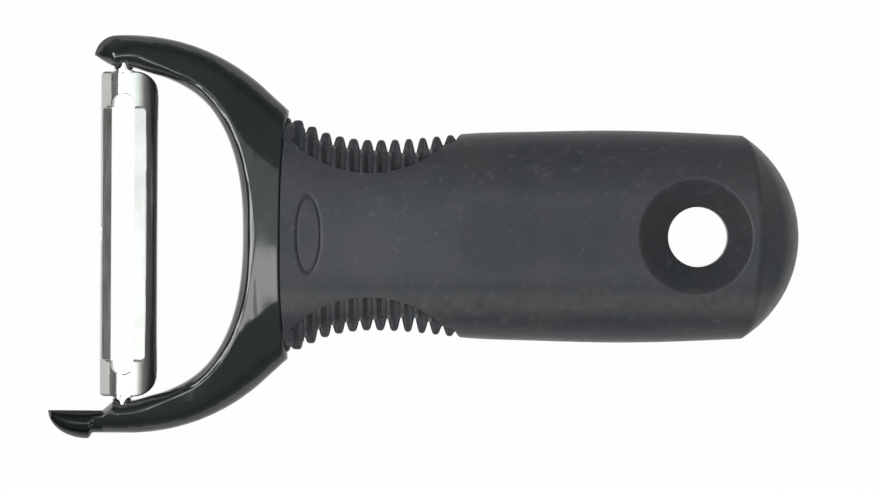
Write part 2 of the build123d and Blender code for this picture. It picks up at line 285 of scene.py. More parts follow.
@dataclass
class YokeShape:
    """The glossy moulding: bow-shaped arms, collar, scoop, pivot bosses and tang.

    Attributes are sizes in millimetres and angles in degrees.
    """

    layout: Layout
    radius: float = 39.75
    centre_lead: float = 1.3
    flare_angle: float = 42.5
    tip_reach: float = 5.8
    tip_round: float = 4.5
    tip_turn: float = 176.0
    lower_reach: float = 5.6
    throat_lead: float = 1.7
    throat_depth: float = 25.6
    throat_half_width: float = 33.3
    throat_exponent: float = 2.45
    arm_pull: float = 0.5
    upper_pull: float = 0.2
    pull_shares: tuple = (0.12, 0.2, 0.8, 0.35)
    upper_shares: tuple = (0.1, 0.15)
    upper_run: float = 6.0
    wall_draft: float = 2.0
    band_draft: float = 28.0
    band_height: float = 2.3
    upper_slope: float = 0.36
    upper_bend: float = 0.06
    lower_slope: float = 41.0
    lower_drop: float = 2.0
    tip_lead: float = 5.0
    tip_half: float = 4.3
    waist_half: float = 5.21
    collar_half: float = 7.8
    side_crown: float = 0.0033
    crown_run: float = 16.0
    face_lean: float = 0.125
    lean_reach: float = 10.0
    lean_lead: float = 2.0
    lean_run: float = 8.0
    lean_start_y: float = 11.0
    lean_run_y: float = 9.0
    rim_width: float = 4.2
    rim_drop: float = 3.2
    rim_most: float = 0.75
    tip_bevel: float = 0.76
    bevel_lead: float = 2.5
    bevel_run: float = 4.0
    seam_round: float = 0.8
    seam_drop: float = 0.8
    arc_columns: int = 120
    flare_columns: int = 18
    seam_columns: int = 90
    upper_columns: int = 110
    tip_columns: int = 34
    pivot_columns: int = 31
    edge_small: float = 0.55
    edge_middle: float = 1.05
    edge_large: float = 1.5
    edge_heel: float = 0.25
    facet_angle: float = 28.6
    knee_shares: tuple = (0.24, 0.24, 0.5)
    arch_start: float = 8.0
    arch_run: float = 8.0
    scoop_length: float = 7.7
    scoop_radius: float = 5.6
    scoop_rim: float = 2.4
    scoop_wall: float = 1.25
    scoop_wall_drop: float = 1.8
    scoop_lean: float = 0.8
    scoop_side_wall: float = 0.9
    scoop_side_drop: float = 0.75
    scoop_fall: float = 0.9
    fall_x: float = -61.0
    fall_run: float = 4.8
    scoop_rise: float = 1.0
    scoop_heel: float = 3.0
    heel_step_run: float = 1.1
    heel_step_rise: float = 1.2
    dish_depth: float = 2.3
    bore_radius: float = 0.65
    socket_radius: float = 1.35
    boss_radius: float = 1.9
    boss_height: float = 0.4
    boss_root: float = 0.9
    boss_edge: float = 0.12
    notch_depth: float = 0.85
    tang_half_width: float = 9.5
    tang_half: float = 3.5
    tang_lead: float = 3.0
    tang_end_x: float = 39.9
    crease: float = 38.0

    def __post_init__(self) -> None:
        """Works out the places that several methods use."""
        self.centre_x = self.layout.pivot_x + self.centre_lead
        self.throat_x = self.layout.pivot_x - self.throat_lead
        self.tip_x = self.layout.pivot_x - self.tip_reach
        self.end_x = self.layout.pivot_x - self.lower_reach
        self.scoop_tip_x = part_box("yoke_frame")[0].x / MM
        self.scoop_x = self.scoop_tip_x + self.scoop_length
        self.wall_y = -(self.throat_half_width + self.lower_drop)
        flare = math.radians(self.flare_angle)
        self.flare_x = self.centre_x + self.radius * math.sin(flare)
        self.flare_y = self.radius * math.cos(flare)
        self.flare_rate = math.tan(flare)

    def flare_line(self, x: Array) -> Array:
        """Half width of the yoke along its straight flare."""
        return self.flare_y - (x - self.flare_x) * self.flare_rate

    def outer_distance(self, x: Array, y: Array) -> Array:
        """Distance in from the outer outline.

        The outline is an arc with a straight flare, a rounded upper tip and a straight lower end.

        Args:
            x: Places along the peeler.
            y: Places across it.

        Returns:
            The distance, in millimetres.
        """
        along = x - self.centre_x
        arc = self.radius - np.hypot(np.where(y < 0, np.maximum(along, 0.0), along), y)
        flare = (self.flare_line(x) - np.abs(y)) * math.cos(math.radians(self.flare_angle))
        inward = np.where(x > self.flare_x - (self.flare_y - np.abs(y)) * self.flare_rate, flare, arc)
        past_arc = np.maximum(self.tip_round - inward, 0.0)
        past_tip = np.maximum(self.tip_round - (x - self.tip_x), 0.0)
        rounded = self.tip_round - np.hypot(past_arc, past_tip)
        return np.where((y > 0) & (x < self.layout.pivot_x), rounded, inward)

    def height(self, x: Array, y: Array) -> Array:
        """Front face over the middle plane.

        A parabola along X, less a crown across the collar, a lean outwards over the arch's
        shoulders, the rim's quarter ellipse (nearly a bevel at the upper tip), the lower arm's
        straight fall to the scoop and a small round along the seam.

        Args:
            x: Places along the peeler.
            y: Places across it.

        Returns:
            The height, in millimetres.
        """
        pivot_x = self.layout.pivot_x
        far_x = self.scoop_tip_x - self.tip_lead
        seam_edge = self.layout.seam_x - self.layout.seam_bulge
        part = (x - far_x) / (seam_edge - far_x)
        middle = 4 * self.waist_half - 2 * (self.tip_half + self.collar_half)
        along = self.tip_half + (self.collar_half - self.tip_half) * part + middle * part * (1 - part)
        crown = self.side_crown * y**2 * smoothstep((x - seam_edge) / self.crown_run + 1.0)
        inward = self.outer_distance(x, y)
        shoulder = smoothstep((x - pivot_x + self.lean_lead) / self.lean_run)
        shoulder = shoulder * smoothstep((np.abs(y) - self.lean_start_y) / self.lean_run_y)
        lean = self.face_lean * shoulder * np.maximum(self.lean_reach - inward, 0.0)
        share = np.clip(1.0 - inward / self.rim_width, 0.0, 1.0)
        bevel = self.tip_bevel * smoothstep((pivot_x + self.bevel_lead - x) / self.bevel_run) * (y > 0)
        fall = self.scoop_fall * np.clip((self.fall_x - x) / self.fall_run, 0.0, 1.0) * (y < 0)
        drop = np.minimum(self.rim_drop, self.rim_most * (along - fall))
        rim = drop * (bevel * share + (1.0 - bevel) * ellipse_fall(share))
        top = along - crown - lean - rim - fall
        gap = self.layout.seam_at(top, self.collar_half) - x
        close = np.clip(1.0 - gap / self.seam_round, 0.0, 1.0)
        return top - self.seam_drop * ellipse_fall(close)

    def arc(self, turns: Array) -> Array:
        """Places on the outer arc at some angles, as a row of X and a row of Y."""
        return np.stack([self.centre_x + self.radius * np.cos(turns), self.radius * np.sin(turns)])

    def outline(self) -> tuple[Array, Array, Array]:
        """Columns round the bow on the middle plane, from the scoop to the upper tip.

        Returns:
            X and Y of the outer outline, and the share of the collar's half width where the
            column ends on the seam, or not a number elsewhere.
        """
        mirror = np.array([[1.0], [-1.0]])
        corner_y = self.flare_line(np.array(self.layout.seam_x))
        start = math.pi / 2 - math.radians(self.flare_angle)
        lower_turn = math.acos((self.end_x - self.centre_x) / self.radius)
        lower = self.arc(np.linspace(lower_turn, start, self.arc_columns)) * mirror
        lower[1] = np.where(lower[0] < self.centre_x, -self.radius, lower[1])
        ramp = np.linspace(0.0, 1.0, self.flare_columns)
        flare_x = self.flare_x + (self.layout.seam_x - self.flare_x) * ramp
        flare = np.stack([flare_x, self.flare_line(flare_x)])
        shares = np.linspace(-1.0, 1.0, self.seam_columns)
        seam = np.stack([np.full_like(shares, self.layout.seam_x), corner_y * shares])
        fillet_x = self.tip_x + self.tip_round
        fillet_y = math.sqrt((self.radius - self.tip_round) ** 2 - (fillet_x - self.centre_x) ** 2)
        join = math.atan2(fillet_y, fillet_x - self.centre_x)
        upper = self.arc(np.linspace(start, join, self.upper_columns))
        turns = join + (math.radians(self.tip_turn) - join) * eased(self.tip_columns, 1.6)
        centre = np.array([[fillet_x], [fillet_y]])
        tip = centre + self.tip_round * np.stack([np.cos(turns), np.sin(turns)])
        later = [flare * mirror, seam, flare[:, ::-1], upper, tip]
        runs = [lower, *(run[:, 1:] for run in later)]
        blank = [np.full(run.shape[1], np.nan) for run in runs]
        blank[2] = shares[1:]
        path = np.concatenate(runs, axis=1)
        share = np.concatenate(blank)
        share[len(blank[0]) + len(blank[1]) - 1] = -1.0
        return self.with_pivot_columns(path[0], path[1], share)

    def with_pivot_columns(self, x: Array, y: Array, share: Array) -> tuple[Array, Array, Array]:
        """Adds close columns beside each pivot, so that the pins' notches have crisp sides.

        Args:
            x: Places along the peeler.
            y: Places across it.
            share: Share across the seam, or NaN off it.

        Returns:
            The same three, with the added columns.
        """
        near = np.linspace(-self.boss_radius, self.boss_radius, self.pivot_columns)
        extra_x = self.layout.pivot_x + near
        extra_y = np.sqrt(self.radius**2 - (extra_x - self.centre_x) ** 2)
        turn = np.arctan2(y, x - self.centre_x)
        low_y = np.where(extra_x < self.centre_x, -self.radius, -extra_y)
        for side_y in (low_y, extra_y):
            more = np.arctan2(side_y, extra_x - self.centre_x)
            order = np.argsort(np.concatenate([turn, more]), kind="stable")
            x = np.concatenate([x, extra_x])[order]
            y = np.concatenate([y, side_y])[order]
            share = np.concatenate([share, np.full(len(more), np.nan)])[order]
            turn = np.concatenate([turn, more])[order]
        return x, y, share

    def inner_point(self, x: Array, y: Array, height: Array) -> tuple[Array, Array]:
        """Throat wall opposite an outer point, at a height.

        The wall stands nearly upright, and leans back in a band below its front edge.

        Args:
            x: Places along the peeler.
            y: Places across it.
            height: Height over the middle plane.

        Returns:
            X and Y of the wall's points.
        """
        top = self.height(*self.throat_point(x, y, np.zeros_like(x)))
        low, high = (math.tan(math.radians(angle)) for angle in (self.wall_draft, self.band_draft))
        past = height - top + self.band_height
        past = 0.5 * (past + np.sqrt(past**2 + 0.25))
        return self.throat_point(x, y, low * height + (high - low) * past)

    def throat_point(self, x: Array, y: Array, grow: Array) -> tuple[Array, Array]:
        """Throat's outline opposite an outer point, grown by a distance.

        Over the arch it is the superellipse met on the way in from the outer point, drawn in a
        little along the arms. Past the arms' roots it is a parabola to the upper tip, or the slope
        and the flat wall over the scoop.

        Args:
            x: Places along the peeler.
            y: Places across it.
            grow: Distance by which the outline is grown.

        Returns:
            X and Y of the outline's points.
        """
        depth = self.throat_depth + grow
        thin = np.where(y > 0, smoothstep((x - self.tip_x) / self.tip_round), 1.0)
        half = self.throat_half_width + grow * thin
        run = np.maximum(self.throat_x - x, 0.0)
        turn = np.arctan2(y, np.maximum(x - self.throat_x, 0.0))
        deep, wide = np.abs(np.cos(turn)) / depth, np.abs(np.sin(turn)) / half
        reach = (deep**self.throat_exponent + wide**self.throat_exponent) ** (-1.0 / self.throat_exponent)
        drop = np.where(
            y > 0,
            run * self.upper_slope + run**2 * self.upper_bend,
            np.minimum(run * math.tan(math.radians(self.lower_slope)), self.lower_drop),
        )
        along = reach * np.cos(turn)
        share = along / depth
        start, rise, stop, fall = self.pull_shares
        pull = self.arm_pull * smoothstep((share - start) / rise) * smoothstep((stop - share) / fall)
        start, rise = self.upper_shares
        pull = pull + self.upper_pull * smoothstep((share - start) / rise) * smoothstep(y / self.upper_run)
        return self.throat_x - run + along, reach * np.sin(turn) + np.sign(y) * (drop - pull)

    def outer_point(self, x: Array, y: Array, share: Array, height: Array) -> tuple[Array, Array]:
        """Outer wall at a height: the outline, cut by the bulged seam.

        Args:
            x: Places along the peeler.
            y: Places across it.
            share: Share across the seam, or NaN off it.
            height: Height over the middle plane.

        Returns:
            X and Y of the wall's points.
        """
        seam = self.layout.seam_at(height, self.collar_half)
        on_seam = ~np.isnan(share)
        corner = self.flare_line(seam)
        clipped = np.minimum(x, seam)
        cut_y = np.where(x > seam, np.sign(y) * corner, y)
        seam_y = np.nan_to_num(share) * corner
        return np.where(on_seam, seam, clipped), np.where(on_seam, seam_y, cut_y)

    def edge_size(self, x: Array, y: Array) -> Array:
        """Width of the inner front edge: wide on the arms, narrow past them, wider in mid arch.

        Args:
            x: Places along the peeler.
            y: Places across it.

        Returns:
            The width, in millimetres.
        """
        part = smoothstep((x - self.layout.pivot_x - 3.0) / 9.0)
        heel = smoothstep((self.throat_x + 0.4 - x) / 0.8) * (y < 0)
        narrow = self.edge_small + (self.edge_middle - self.edge_small) * np.exp(-((y / 9.0) ** 2))
        size = self.edge_large + (narrow - self.edge_large) * part
        return size + (self.edge_heel - size) * heel

    def facet_foot(self, x: Array, y: Array, landing: Array, top: Array) -> Array:
        """Height on the wall from which a facet at its own angle climbs to the face."""
        rate = math.tan(math.radians(self.facet_angle))
        foot = top
        for _ in range(8):
            foot = top - rate * np.hypot(*(landing - np.stack(self.inner_point(x, y, foot))))
        return foot

    def half_section(self, front: bool) -> Array:
        """Half of each section, from the throat's wall over the face to the outer wall.

        The wall rises to the front edge, a parabola on the arms or a facet round the arch breaks
        the edge, the face runs out to the rim and the outer wall comes down to the middle plane.
        Heights where walls and face meet are found by halving.

        Args:
            front: True for the half towards +Z, which has the pins' notches.

        Returns:
            Array of columns by rows by 3.
        """
        x, y, share = self.outline()
        pivot_x = self.layout.pivot_x
        inner_top = self.meeting(lambda z: self.height(*self.inner_point(x, y, z)))
        outer_top = self.meeting(lambda z: self.height(*self.outer_point(x, y, share, z)))
        corner = np.stack(self.inner_point(x, y, inner_top))
        rim = np.stack(self.outer_point(x, y, share, outer_top))
        width = np.hypot(*(rim - corner))
        size = np.minimum(self.edge_size(corner[0], y), np.minimum(0.45 * inner_top, 0.4 * width))
        toward = (rim - corner) / width
        landing = corner + toward * size
        finish = np.stack([*landing, self.height(*landing)])
        arch = smoothstep((corner[0] - pivot_x - self.arch_start) / self.arch_run)
        foot = inner_top - size
        foot = foot + arch * (self.facet_foot(x, y, landing, finish[2]) - foot)
        rows = []
        for step in eased(12, 1.8):
            z = step * foot
            wall_x, wall_y = self.inner_point(x, y, z)
            wall_y = self.notched(wall_x, wall_y, 0.0 * z if front else z)
            rows.append(np.stack([wall_x, wall_y, z]))
        start = rows[-1]
        peak = np.stack([*corner, inner_top])
        knee = start + (finish - start) * np.array(self.knee_shares)[:, None]
        peak = peak + arch * (knee - peak)
        for step in smoothstep(np.linspace(0.0, 1.0, 9))[1:]:
            rows.append((1 - step) ** 2 * start + 2 * step * (1 - step) * peak + step**2 * finish)
        for step in eased(30, 1.9)[1:]:
            place = landing + (rim - landing) * step
            rows.append(np.stack([*place, self.height(*place)]))
        for step in np.linspace(1.0, 0.0, 8)[1:]:
            z = outer_top * step
            rows.append(np.stack([*self.outer_point(x, y, share, z), z]))
        return np.stack(rows, axis=0).transpose(2, 0, 1)

    def notched(self, x: Array, y: Array, z: Array) -> Array:
        """Wall pushed back beside each pivot: a cone about the pivot, narrowing to the bore."""
        radius = np.hypot(x - self.layout.pivot_x, z)
        steep = (self.notch_depth + self.boss_height) / (self.socket_radius - self.bore_radius)
        past = np.maximum(radius - self.bore_radius, 0.0)
        back = self.throat_half_width + self.notch_depth - steep * past
        return np.sign(y) * np.maximum(np.abs(y), np.where(radius < self.socket_radius, back, 0.0))

    def meeting(self, height_at) -> Array:
        """Height at which a wall meets the face, by halving between the middle plane and the top."""
        low = np.zeros_like(self.outline()[0])
        high = np.full_like(low, self.collar_half + 1.0)
        for _ in range(24):
            middle = (low + high) / 2
            below = height_at(middle) > middle
            low, high = np.where(below, middle, low), np.where(below, high, middle)
        return (low + high) / 2

    def bow(self) -> Shell:
        """Arms, arch and collar: each column's two half sections joined into a loop.

        Returns:
            The closed surface.
        """
        front = self.half_section(True)
        back = self.half_section(False)[:, ::-1] * [1.0, 1.0, -1.0]
        return Shell(np.concatenate([front, back[:, 1:-1]], axis=1), cap_ends=True)

    def scoop(self) -> Shell:
        """Spoon: half-round sections along X round a straight side wall, with the dish let in.

        Its radius follows an ellipse from the tip and steps in at the heel, and its rim climbs
        with the square of the way from the tip. Each section runs over the rounded rim, round the
        outside, up the wall, over its leaning top and through the dish, which is half an ellipse
        across, shallows towards the tip and ends at the arm.

        Returns:
            The closed surface.
        """
        out = self.scoop_x - self.scoop_length * np.cos(np.linspace(0.03, math.pi / 2, 40))
        x = np.concatenate([out, self.scoop_x + np.linspace(0.1, self.scoop_heel, 24)])
        ahead = np.clip((self.scoop_x - x) / self.scoop_length, 0.0, 1.0)
        step = smoothstep((x - self.scoop_x - 0.2) / self.heel_step_run)
        radius = self.scoop_radius * np.sqrt(1.0 - ahead**2) - self.heel_step_rise * step
        reach = np.clip(self.scoop_x - x, 0.0, None) / (self.scoop_length - 0.5 * self.scoop_wall)
        hollow = np.sqrt(np.clip(1.0 - reach**2, 0.0, 1.0))[:, None]
        radius = radius[:, None]
        lean = self.scoop_lean
        lift = self.scoop_rise * (1.0 - ahead[:, None]) ** 2
        rim_z = self.scoop_rim + lift
        turn = np.linspace(0.0, math.pi / 2, 26)[None, :]
        rim_turn = np.linspace(lean, math.pi / 2, 14)[None, :]
        rim_out = (np.sin(rim_turn) - math.sin(lean)) / (1 - math.sin(lean))
        size = radius / self.scoop_radius
        crest_y = self.wall_y - radius + self.scoop_wall * size
        edge_z = rim_z - self.scoop_wall_drop * size
        rim = np.stack([
            crest_y - self.scoop_wall * size * rim_out,
            edge_z + self.scoop_wall_drop * size * np.cos(rim_turn) / math.cos(lean),
        ])
        belly = radius - self.scoop_wall_drop * size
        outer = np.stack([self.wall_y - radius * np.cos(turn), edge_z - belly * np.sin(turn)])[:, :, 1:]
        rise = np.linspace(0.0, 1.0, 7)[None, 1:]
        wall_top = rim_z - self.scoop_side_drop * size
        wall_z = wall_top - (wall_top - edge_z + belly) * (1.0 - rise)
        wall = np.stack([np.full_like(wall_z, self.wall_y), wall_z])
        across = np.linspace(0.0, math.pi, 40)[None, :]
        near_y = self.wall_y - self.scoop_side_wall * size
        half, centre = (near_y - crest_y) / 2, (near_y + crest_y) / 2
        depth = np.minimum((self.dish_depth + lift) * hollow, 0.6 * radius)
        bowl = np.stack([centre + half * np.cos(across), rim_z - depth * np.sin(across) ** 0.8])
        loop = np.concatenate([rim, outer, wall, bowl[:, :, :-1]], axis=2)
        points = np.stack([np.broadcast_to(x[:, None], loop[0].shape), loop[0], loop[1]], axis=-1)
        return Shell(points, cap_ends=True)

    def boss(self, side: Side) -> Shell:
        """Low ring round a pivot's socket, open towards the front where the pin shows.

        Args:
            side: Upper or lower side of the peeler.

        Returns:
            The ring's surface.
        """
        gap = math.asin(self.socket_radius / self.boss_radius)
        turns = np.linspace(math.pi / 2 + gap, 2.5 * math.pi - gap, 48)
        face = self.throat_half_width - self.boss_height
        root = face + self.boss_height + self.boss_root
        edge = self.boss_edge
        inner, outer = self.socket_radius, self.boss_radius
        radius = np.array([inner, inner + edge, outer - edge, outer, outer, inner])
        depth = np.array([face + edge, face, face, face + edge, root, root]) * side.value
        x = self.layout.pivot_x + np.cos(turns)[:, None] * radius
        z = np.sin(turns)[:, None] * radius
        y = np.broadcast_to(depth, x.shape)
        return Shell(np.stack([x, y, z], axis=-1), cap_ends=True)

    def tang(self) -> Shell:
        """Hidden bar inside the grip: a rounded flat section along X.

        Returns:
            The bar's surface.
        """
        turn = full_turn(48)
        y = self.tang_half_width * signed_power(np.cos(turn), 0.3)
        z = self.tang_half * signed_power(np.sin(turn), 0.5)
        x = np.linspace(self.layout.seam_x - self.tang_lead, self.tang_end_x, 12)
        points = np.stack(np.broadcast_arrays(x[:, None], y[None, :], z[None, :]), axis=-1)
        return Shell(points, cap_ends=True)

    def build(self) -> bpy.types.Object:
        """The whole yoke as one object.

        Returns:
            The yoke, at the origin.
        """
        shells = [self.bow(), self.scoop(), *(self.boss(side) for side in Side), self.tang()]
        return make_piece("yoke", shells, self.layout, self.crease)


@dataclass
class BladeShape:
    """The steel blade: a bent sheet with a slot, two lips and a pin at each end."""

    layout: Layout
    sheet: float = 0.6
    half_length: float = 32.5
    flange_edge: float = 4.5
    flange_height: float = -0.75
    slope_places: tuple = (-4.6, -2.62, -2.4, -1.55, -1.2, -0.8, -0.45, 0.1, 1.8, 2.2)
    slopes: tuple = (-0.22, -0.22, 0.82, 0.82, 0.68, 0.52, 0.3, 0.05, 0.0, 0.0)
    wing_start: float = 2.2
    wing_edge: float = 6.7
    wing_radius: float = 5.4
    slot_half_width: float = 2.2
    slot_half_length: float = 28.1
    window_half: float = 25.3
    lip_half: float = 25.36
    left_root: float = 4.05
    left_rise: float = 0.45
    right_root: float = 4.35
    right_rise: float = 0.0
    lip_edge: float = 0.12
    lip_corner: float = 1.15
    lip_roll: float = 0.4
    roll_drop: float = 0.5
    flange_corner: float = 0.8
    wing_corner: float = 4.3
    pin_length: float = 3.3
    shoulder_reaches: tuple = (-0.35, -0.1, 0.1, 0.3, 0.5, 0.8, 1.2)
    shoulder_widths: tuple = (2.6, 2.5, 2.15, 1.65, 1.3, 0.98, 0.62)
    pin_thickness: float = 0.48
    pin_rise: float = 0.12
    end_columns: int = 150
    side_columns: int = 120
    crease: float = 35.0

    def height(self, x: Array) -> Array:
        """Middle of the sheet at a place across it.

        The slopes at the named places are joined by straight stretches and summed up, from the
        flange over the crease and the riser to the apex. The wing is an arc.

        Args:
            x: Places across the sheet.

        Returns:
            The height, in millimetres.
        """
        places = np.linspace(self.slope_places[0], self.slope_places[-1], 800)
        slopes = np.interp(places, self.slope_places, self.slopes)
        rises = np.concatenate([[0.0], np.cumsum((slopes[1:] + slopes[:-1]) / 2 * np.diff(places))])
        past = np.clip(x - self.wing_start, 0.0, 0.98 * self.wing_radius)
        drop = self.wing_radius - np.sqrt(self.wing_radius**2 - past**2)
        return self.flange_height + np.interp(x, places, rises) - drop

    def slope(self, x: Array) -> Array:
        """Slope of the sheet across, from heights a little way to each side."""
        step = 0.01
        return (self.height(x + step) - self.height(x - step)) / (2 * step)

    @staticmethod
    def resample(path: Array, count: int) -> Array:
        """Points at even distances along a path of points.

        Args:
            path: Points of the path, in order.
            count: Number of points wanted.

        Returns:
            The points at even distances.
        """
        gaps = np.hypot(*np.diff(path, axis=0).T)
        along = np.concatenate([[0.0], np.cumsum(gaps)])
        wanted = np.linspace(0.0, along[-1], count)
        return np.stack([np.interp(wanted, along, places) for places in path.T], axis=-1)

    @staticmethod
    def corner(centre: tuple[float, float], radius: float, start: float, stop: float) -> Array:
        """Arc of a corner, between two angles in degrees."""
        turn = np.radians(np.linspace(start, stop, 9))
        return np.stack([centre[0] + radius * np.cos(turn), centre[1] + radius * np.sin(turn)], axis=-1)

    def plate_end(self) -> Array:
        """Outer outline round the upper end, from the wing's edge to the flange's edge.

        Returns:
            Points of the outline, in order.
        """
        right_centre = (self.wing_edge - self.wing_corner, self.half_length - self.wing_corner)
        right = self.corner(right_centre, self.wing_corner, 0, 90)
        left_centre = (-self.flange_edge + self.flange_corner, self.half_length - self.flange_corner)
        return np.vstack([right, self.corner(left_centre, self.flange_corner, 90, 180)])

    def opening_end(self) -> Array:
        """Inner outline round the upper end: a window, the round slot end, the other window.

        Returns:
            Points of the outline, in order.
        """
        relief = self.lip_corner
        right = self.corner((self.right_root - relief, self.window_half - relief), relief, 0, 90)
        slot_y = self.slot_half_length - self.slot_half_width
        slot = self.corner((0.0, slot_y), self.slot_half_width, 0, 180)
        left = self.corner((-self.left_root + relief, self.window_half - relief), relief, 90, 180)
        start_y = self.window_half - 2.0 * relief
        foot = np.array([[1.0, 1.0], [-1.0, 1.0]]) * [self.slot_half_width, self.window_half]
        ends = np.array([[self.right_root, start_y], [-self.left_root, start_y]])
        return np.vstack([ends[:1], right, foot[:1], slot, foot[1:], left, ends[1:]])

    def closed(self, path: Array) -> Array:
        """Whole outline from its upper end: the end, the left side, the lower end, the right side.

        Args:
            path: Outline round the upper end.

        Returns:
            Points of the whole outline, in order.
        """
        end = self.resample(path, self.end_columns)
        down = np.linspace(1.0, -1.0, self.side_columns)[1:-1, None]
        left = np.hstack([np.full_like(down, end[-1, 0]), down * end[-1, 1]])
        right = np.hstack([np.full_like(down, end[0, 0]), -down * end[0, 1]])
        return np.vstack([end, left, (end * [1.0, -1.0])[::-1], right])

    def ring(self) -> Shell:
        """Plate round the opening: each column runs over the sheet, round its edge and back below.

        The outlines of opening and plate are matched end to end and side to side. The sheet between
        them is a straight blend, and its two faces stand half a sheet off along the normal.

        Returns:
            The plate's surface.
        """
        outer, inner = self.closed(self.plate_end()), self.closed(self.opening_end())
        width = np.hypot(*(outer - inner).T)
        inset = np.array([0.0, 0.02, 0.06, 0.12])
        lift = np.array([0.0, 0.55, 0.88, 1.0])
        near = inset[None, :] / width[:, None]
        middle = np.linspace(0.0, 1.0, 19)[None, 1:-1]
        body = near[:, -1:] + (1 - 2 * near[:, -1:]) * middle
        share = np.concatenate([near, body, 1 - near[:, ::-1]], axis=1)
        rise = np.concatenate([lift, np.ones(middle.shape[1]), lift[::-1]])[None, :]
        plan = inner[:, None, :] + (outer - inner)[:, None, :] * share[..., None]
        top = self.offset(plan, 0.5 * self.sheet * rise)
        below = self.offset(plan, -0.5 * self.sheet * rise)[:, ::-1]
        return Shell(np.concatenate([top, below[:, 1:-1]], axis=1), wrap_rows=True)

    def offset(self, plan: Array, distance: Array) -> Array:
        """Points off the sheet's middle by a distance along its normal, placed at the pivot."""
        x, y = plan[..., 0], plan[..., 1]
        slope = self.slope(x)
        length = np.sqrt(1 + slope**2)
        lifted_x = x - distance * slope / length
        lifted_z = self.height(x) + distance / length
        return np.stack([self.layout.pivot_x + lifted_x, y + 0.0 * lifted_x, lifted_z], axis=-1)

    def lip(self, root: float, root_height: float, rise: float) -> Shell:
        """A turned-up lip: straight from its root to the slot's edge, ground thin from below.

        Its ends roll down over a quarter ellipse.

        Args:
            root: Signed place of the root across the blade.
            root_height: Middle of the sheet at the root.
            rise: Height of the cutting edge.
        """
        sign = math.copysign(1.0, root)
        span = np.linspace(-1.0, 1.0, 160)
        y = self.lip_half * np.sign(span) * (1 - (1 - np.abs(span)) ** 1.9)  # rows close up to the ends
        past = np.clip((np.abs(y) - self.window_half + self.lip_corner) / self.lip_corner, 0.0, 1.0)
        cut = self.lip_corner * ellipse_fall(past)
        start_x = root + sign * (0.08 - np.minimum(cut, self.lip_corner))
        edge_x = np.full_like(y, sign * self.slot_half_width)
        run, climb = edge_x[0] - root, rise - root_height
        length = math.hypot(run, climb)
        normal_x, normal_z = -climb / length * np.sign(run), abs(run) / length
        share = np.array([0.0, 0.2, 0.4, 0.6, 0.72, 0.84, 1.0])
        over_half = 0.5 * self.sheet
        under_half = np.interp(share, [0.0, 0.6, 1.0], [over_half, over_half, self.lip_edge - over_half])
        x = start_x[:, None] + (edge_x - start_x)[:, None] * share
        near = np.clip((np.abs(y) - self.lip_half + self.lip_roll) / self.lip_roll, 0.0, 1.0)
        raised = climb * (x - root) / run
        roll = self.roll_drop * np.clip(raised / 0.3, 0.2, 1.0) * ellipse_fall(near)[:, None]
        z = root_height + raised - roll
        over = np.stack([x + normal_x * over_half, z + normal_z * over_half])
        under = np.stack([x - normal_x * under_half, z - normal_z * under_half])[:, :, ::-1]
        loop = np.concatenate([over, under], axis=2)
        wide_y = np.broadcast_to(y[:, None], loop[0].shape)
        return Shell(np.stack([self.layout.pivot_x + loop[0], wide_y, loop[1]], axis=-1), cap_ends=True)

    def pin(self, side: Side) -> Shell:
        """Pivot pin: rounded flat sections along the pivot axis.

        They start with the sheet's own profile and narrow in a hollow curve to the pin, whose tip
        is rounded. Across, each goes with the square roots of cosine and sine.

        Args:
            side: Upper or lower side of the peeler.

        Returns:
            The pin's surface.
        """
        tip = self.pin_length
        reach = np.array([*self.shoulder_reaches, tip - 0.25, tip - 0.08, tip])
        end_widths = self.shoulder_widths[-1] - np.array([0.0, 0.08, 0.3])
        width = np.array([*self.shoulder_widths, *end_widths])
        part = smoothstep(reach / self.shoulder_reaches[-1])
        thick = np.minimum(width, 0.5 * self.sheet + (self.pin_thickness - 0.5 * self.sheet) * part)
        turn = full_turn(40)[None, :]
        flat_z = signed_power(np.sin(turn), 0.5)
        away = width[:, None] * signed_power(np.cos(turn), 0.5)
        x = self.layout.pivot_x + away
        middle = self.height(away) * (1 - part[:, None]) + self.pin_rise * part[:, None]
        z = middle + thick[:, None] * flat_z + 0.01
        y = np.broadcast_to(side.value * (self.half_length + reach)[:, None], x.shape)
        return Shell(np.stack([x, y, z], axis=-1), cap_ends=True)

    def build(self) -> bpy.types.Object:
        """The whole blade as one object.

        Returns:
            The blade, at the origin.
        """
        right_height = float(self.height(np.array(self.right_root)))
        left_height = float(self.height(np.array(-self.left_root)))
        left = self.lip(-self.left_root, left_height, self.left_rise)
        right = self.lip(self.right_root, right_height, self.right_rise)
        shells = [self.ring(), left, right, *(self.pin(side) for side in Side)]
        return make_piece("blade", shells, self.layout, self.crease)


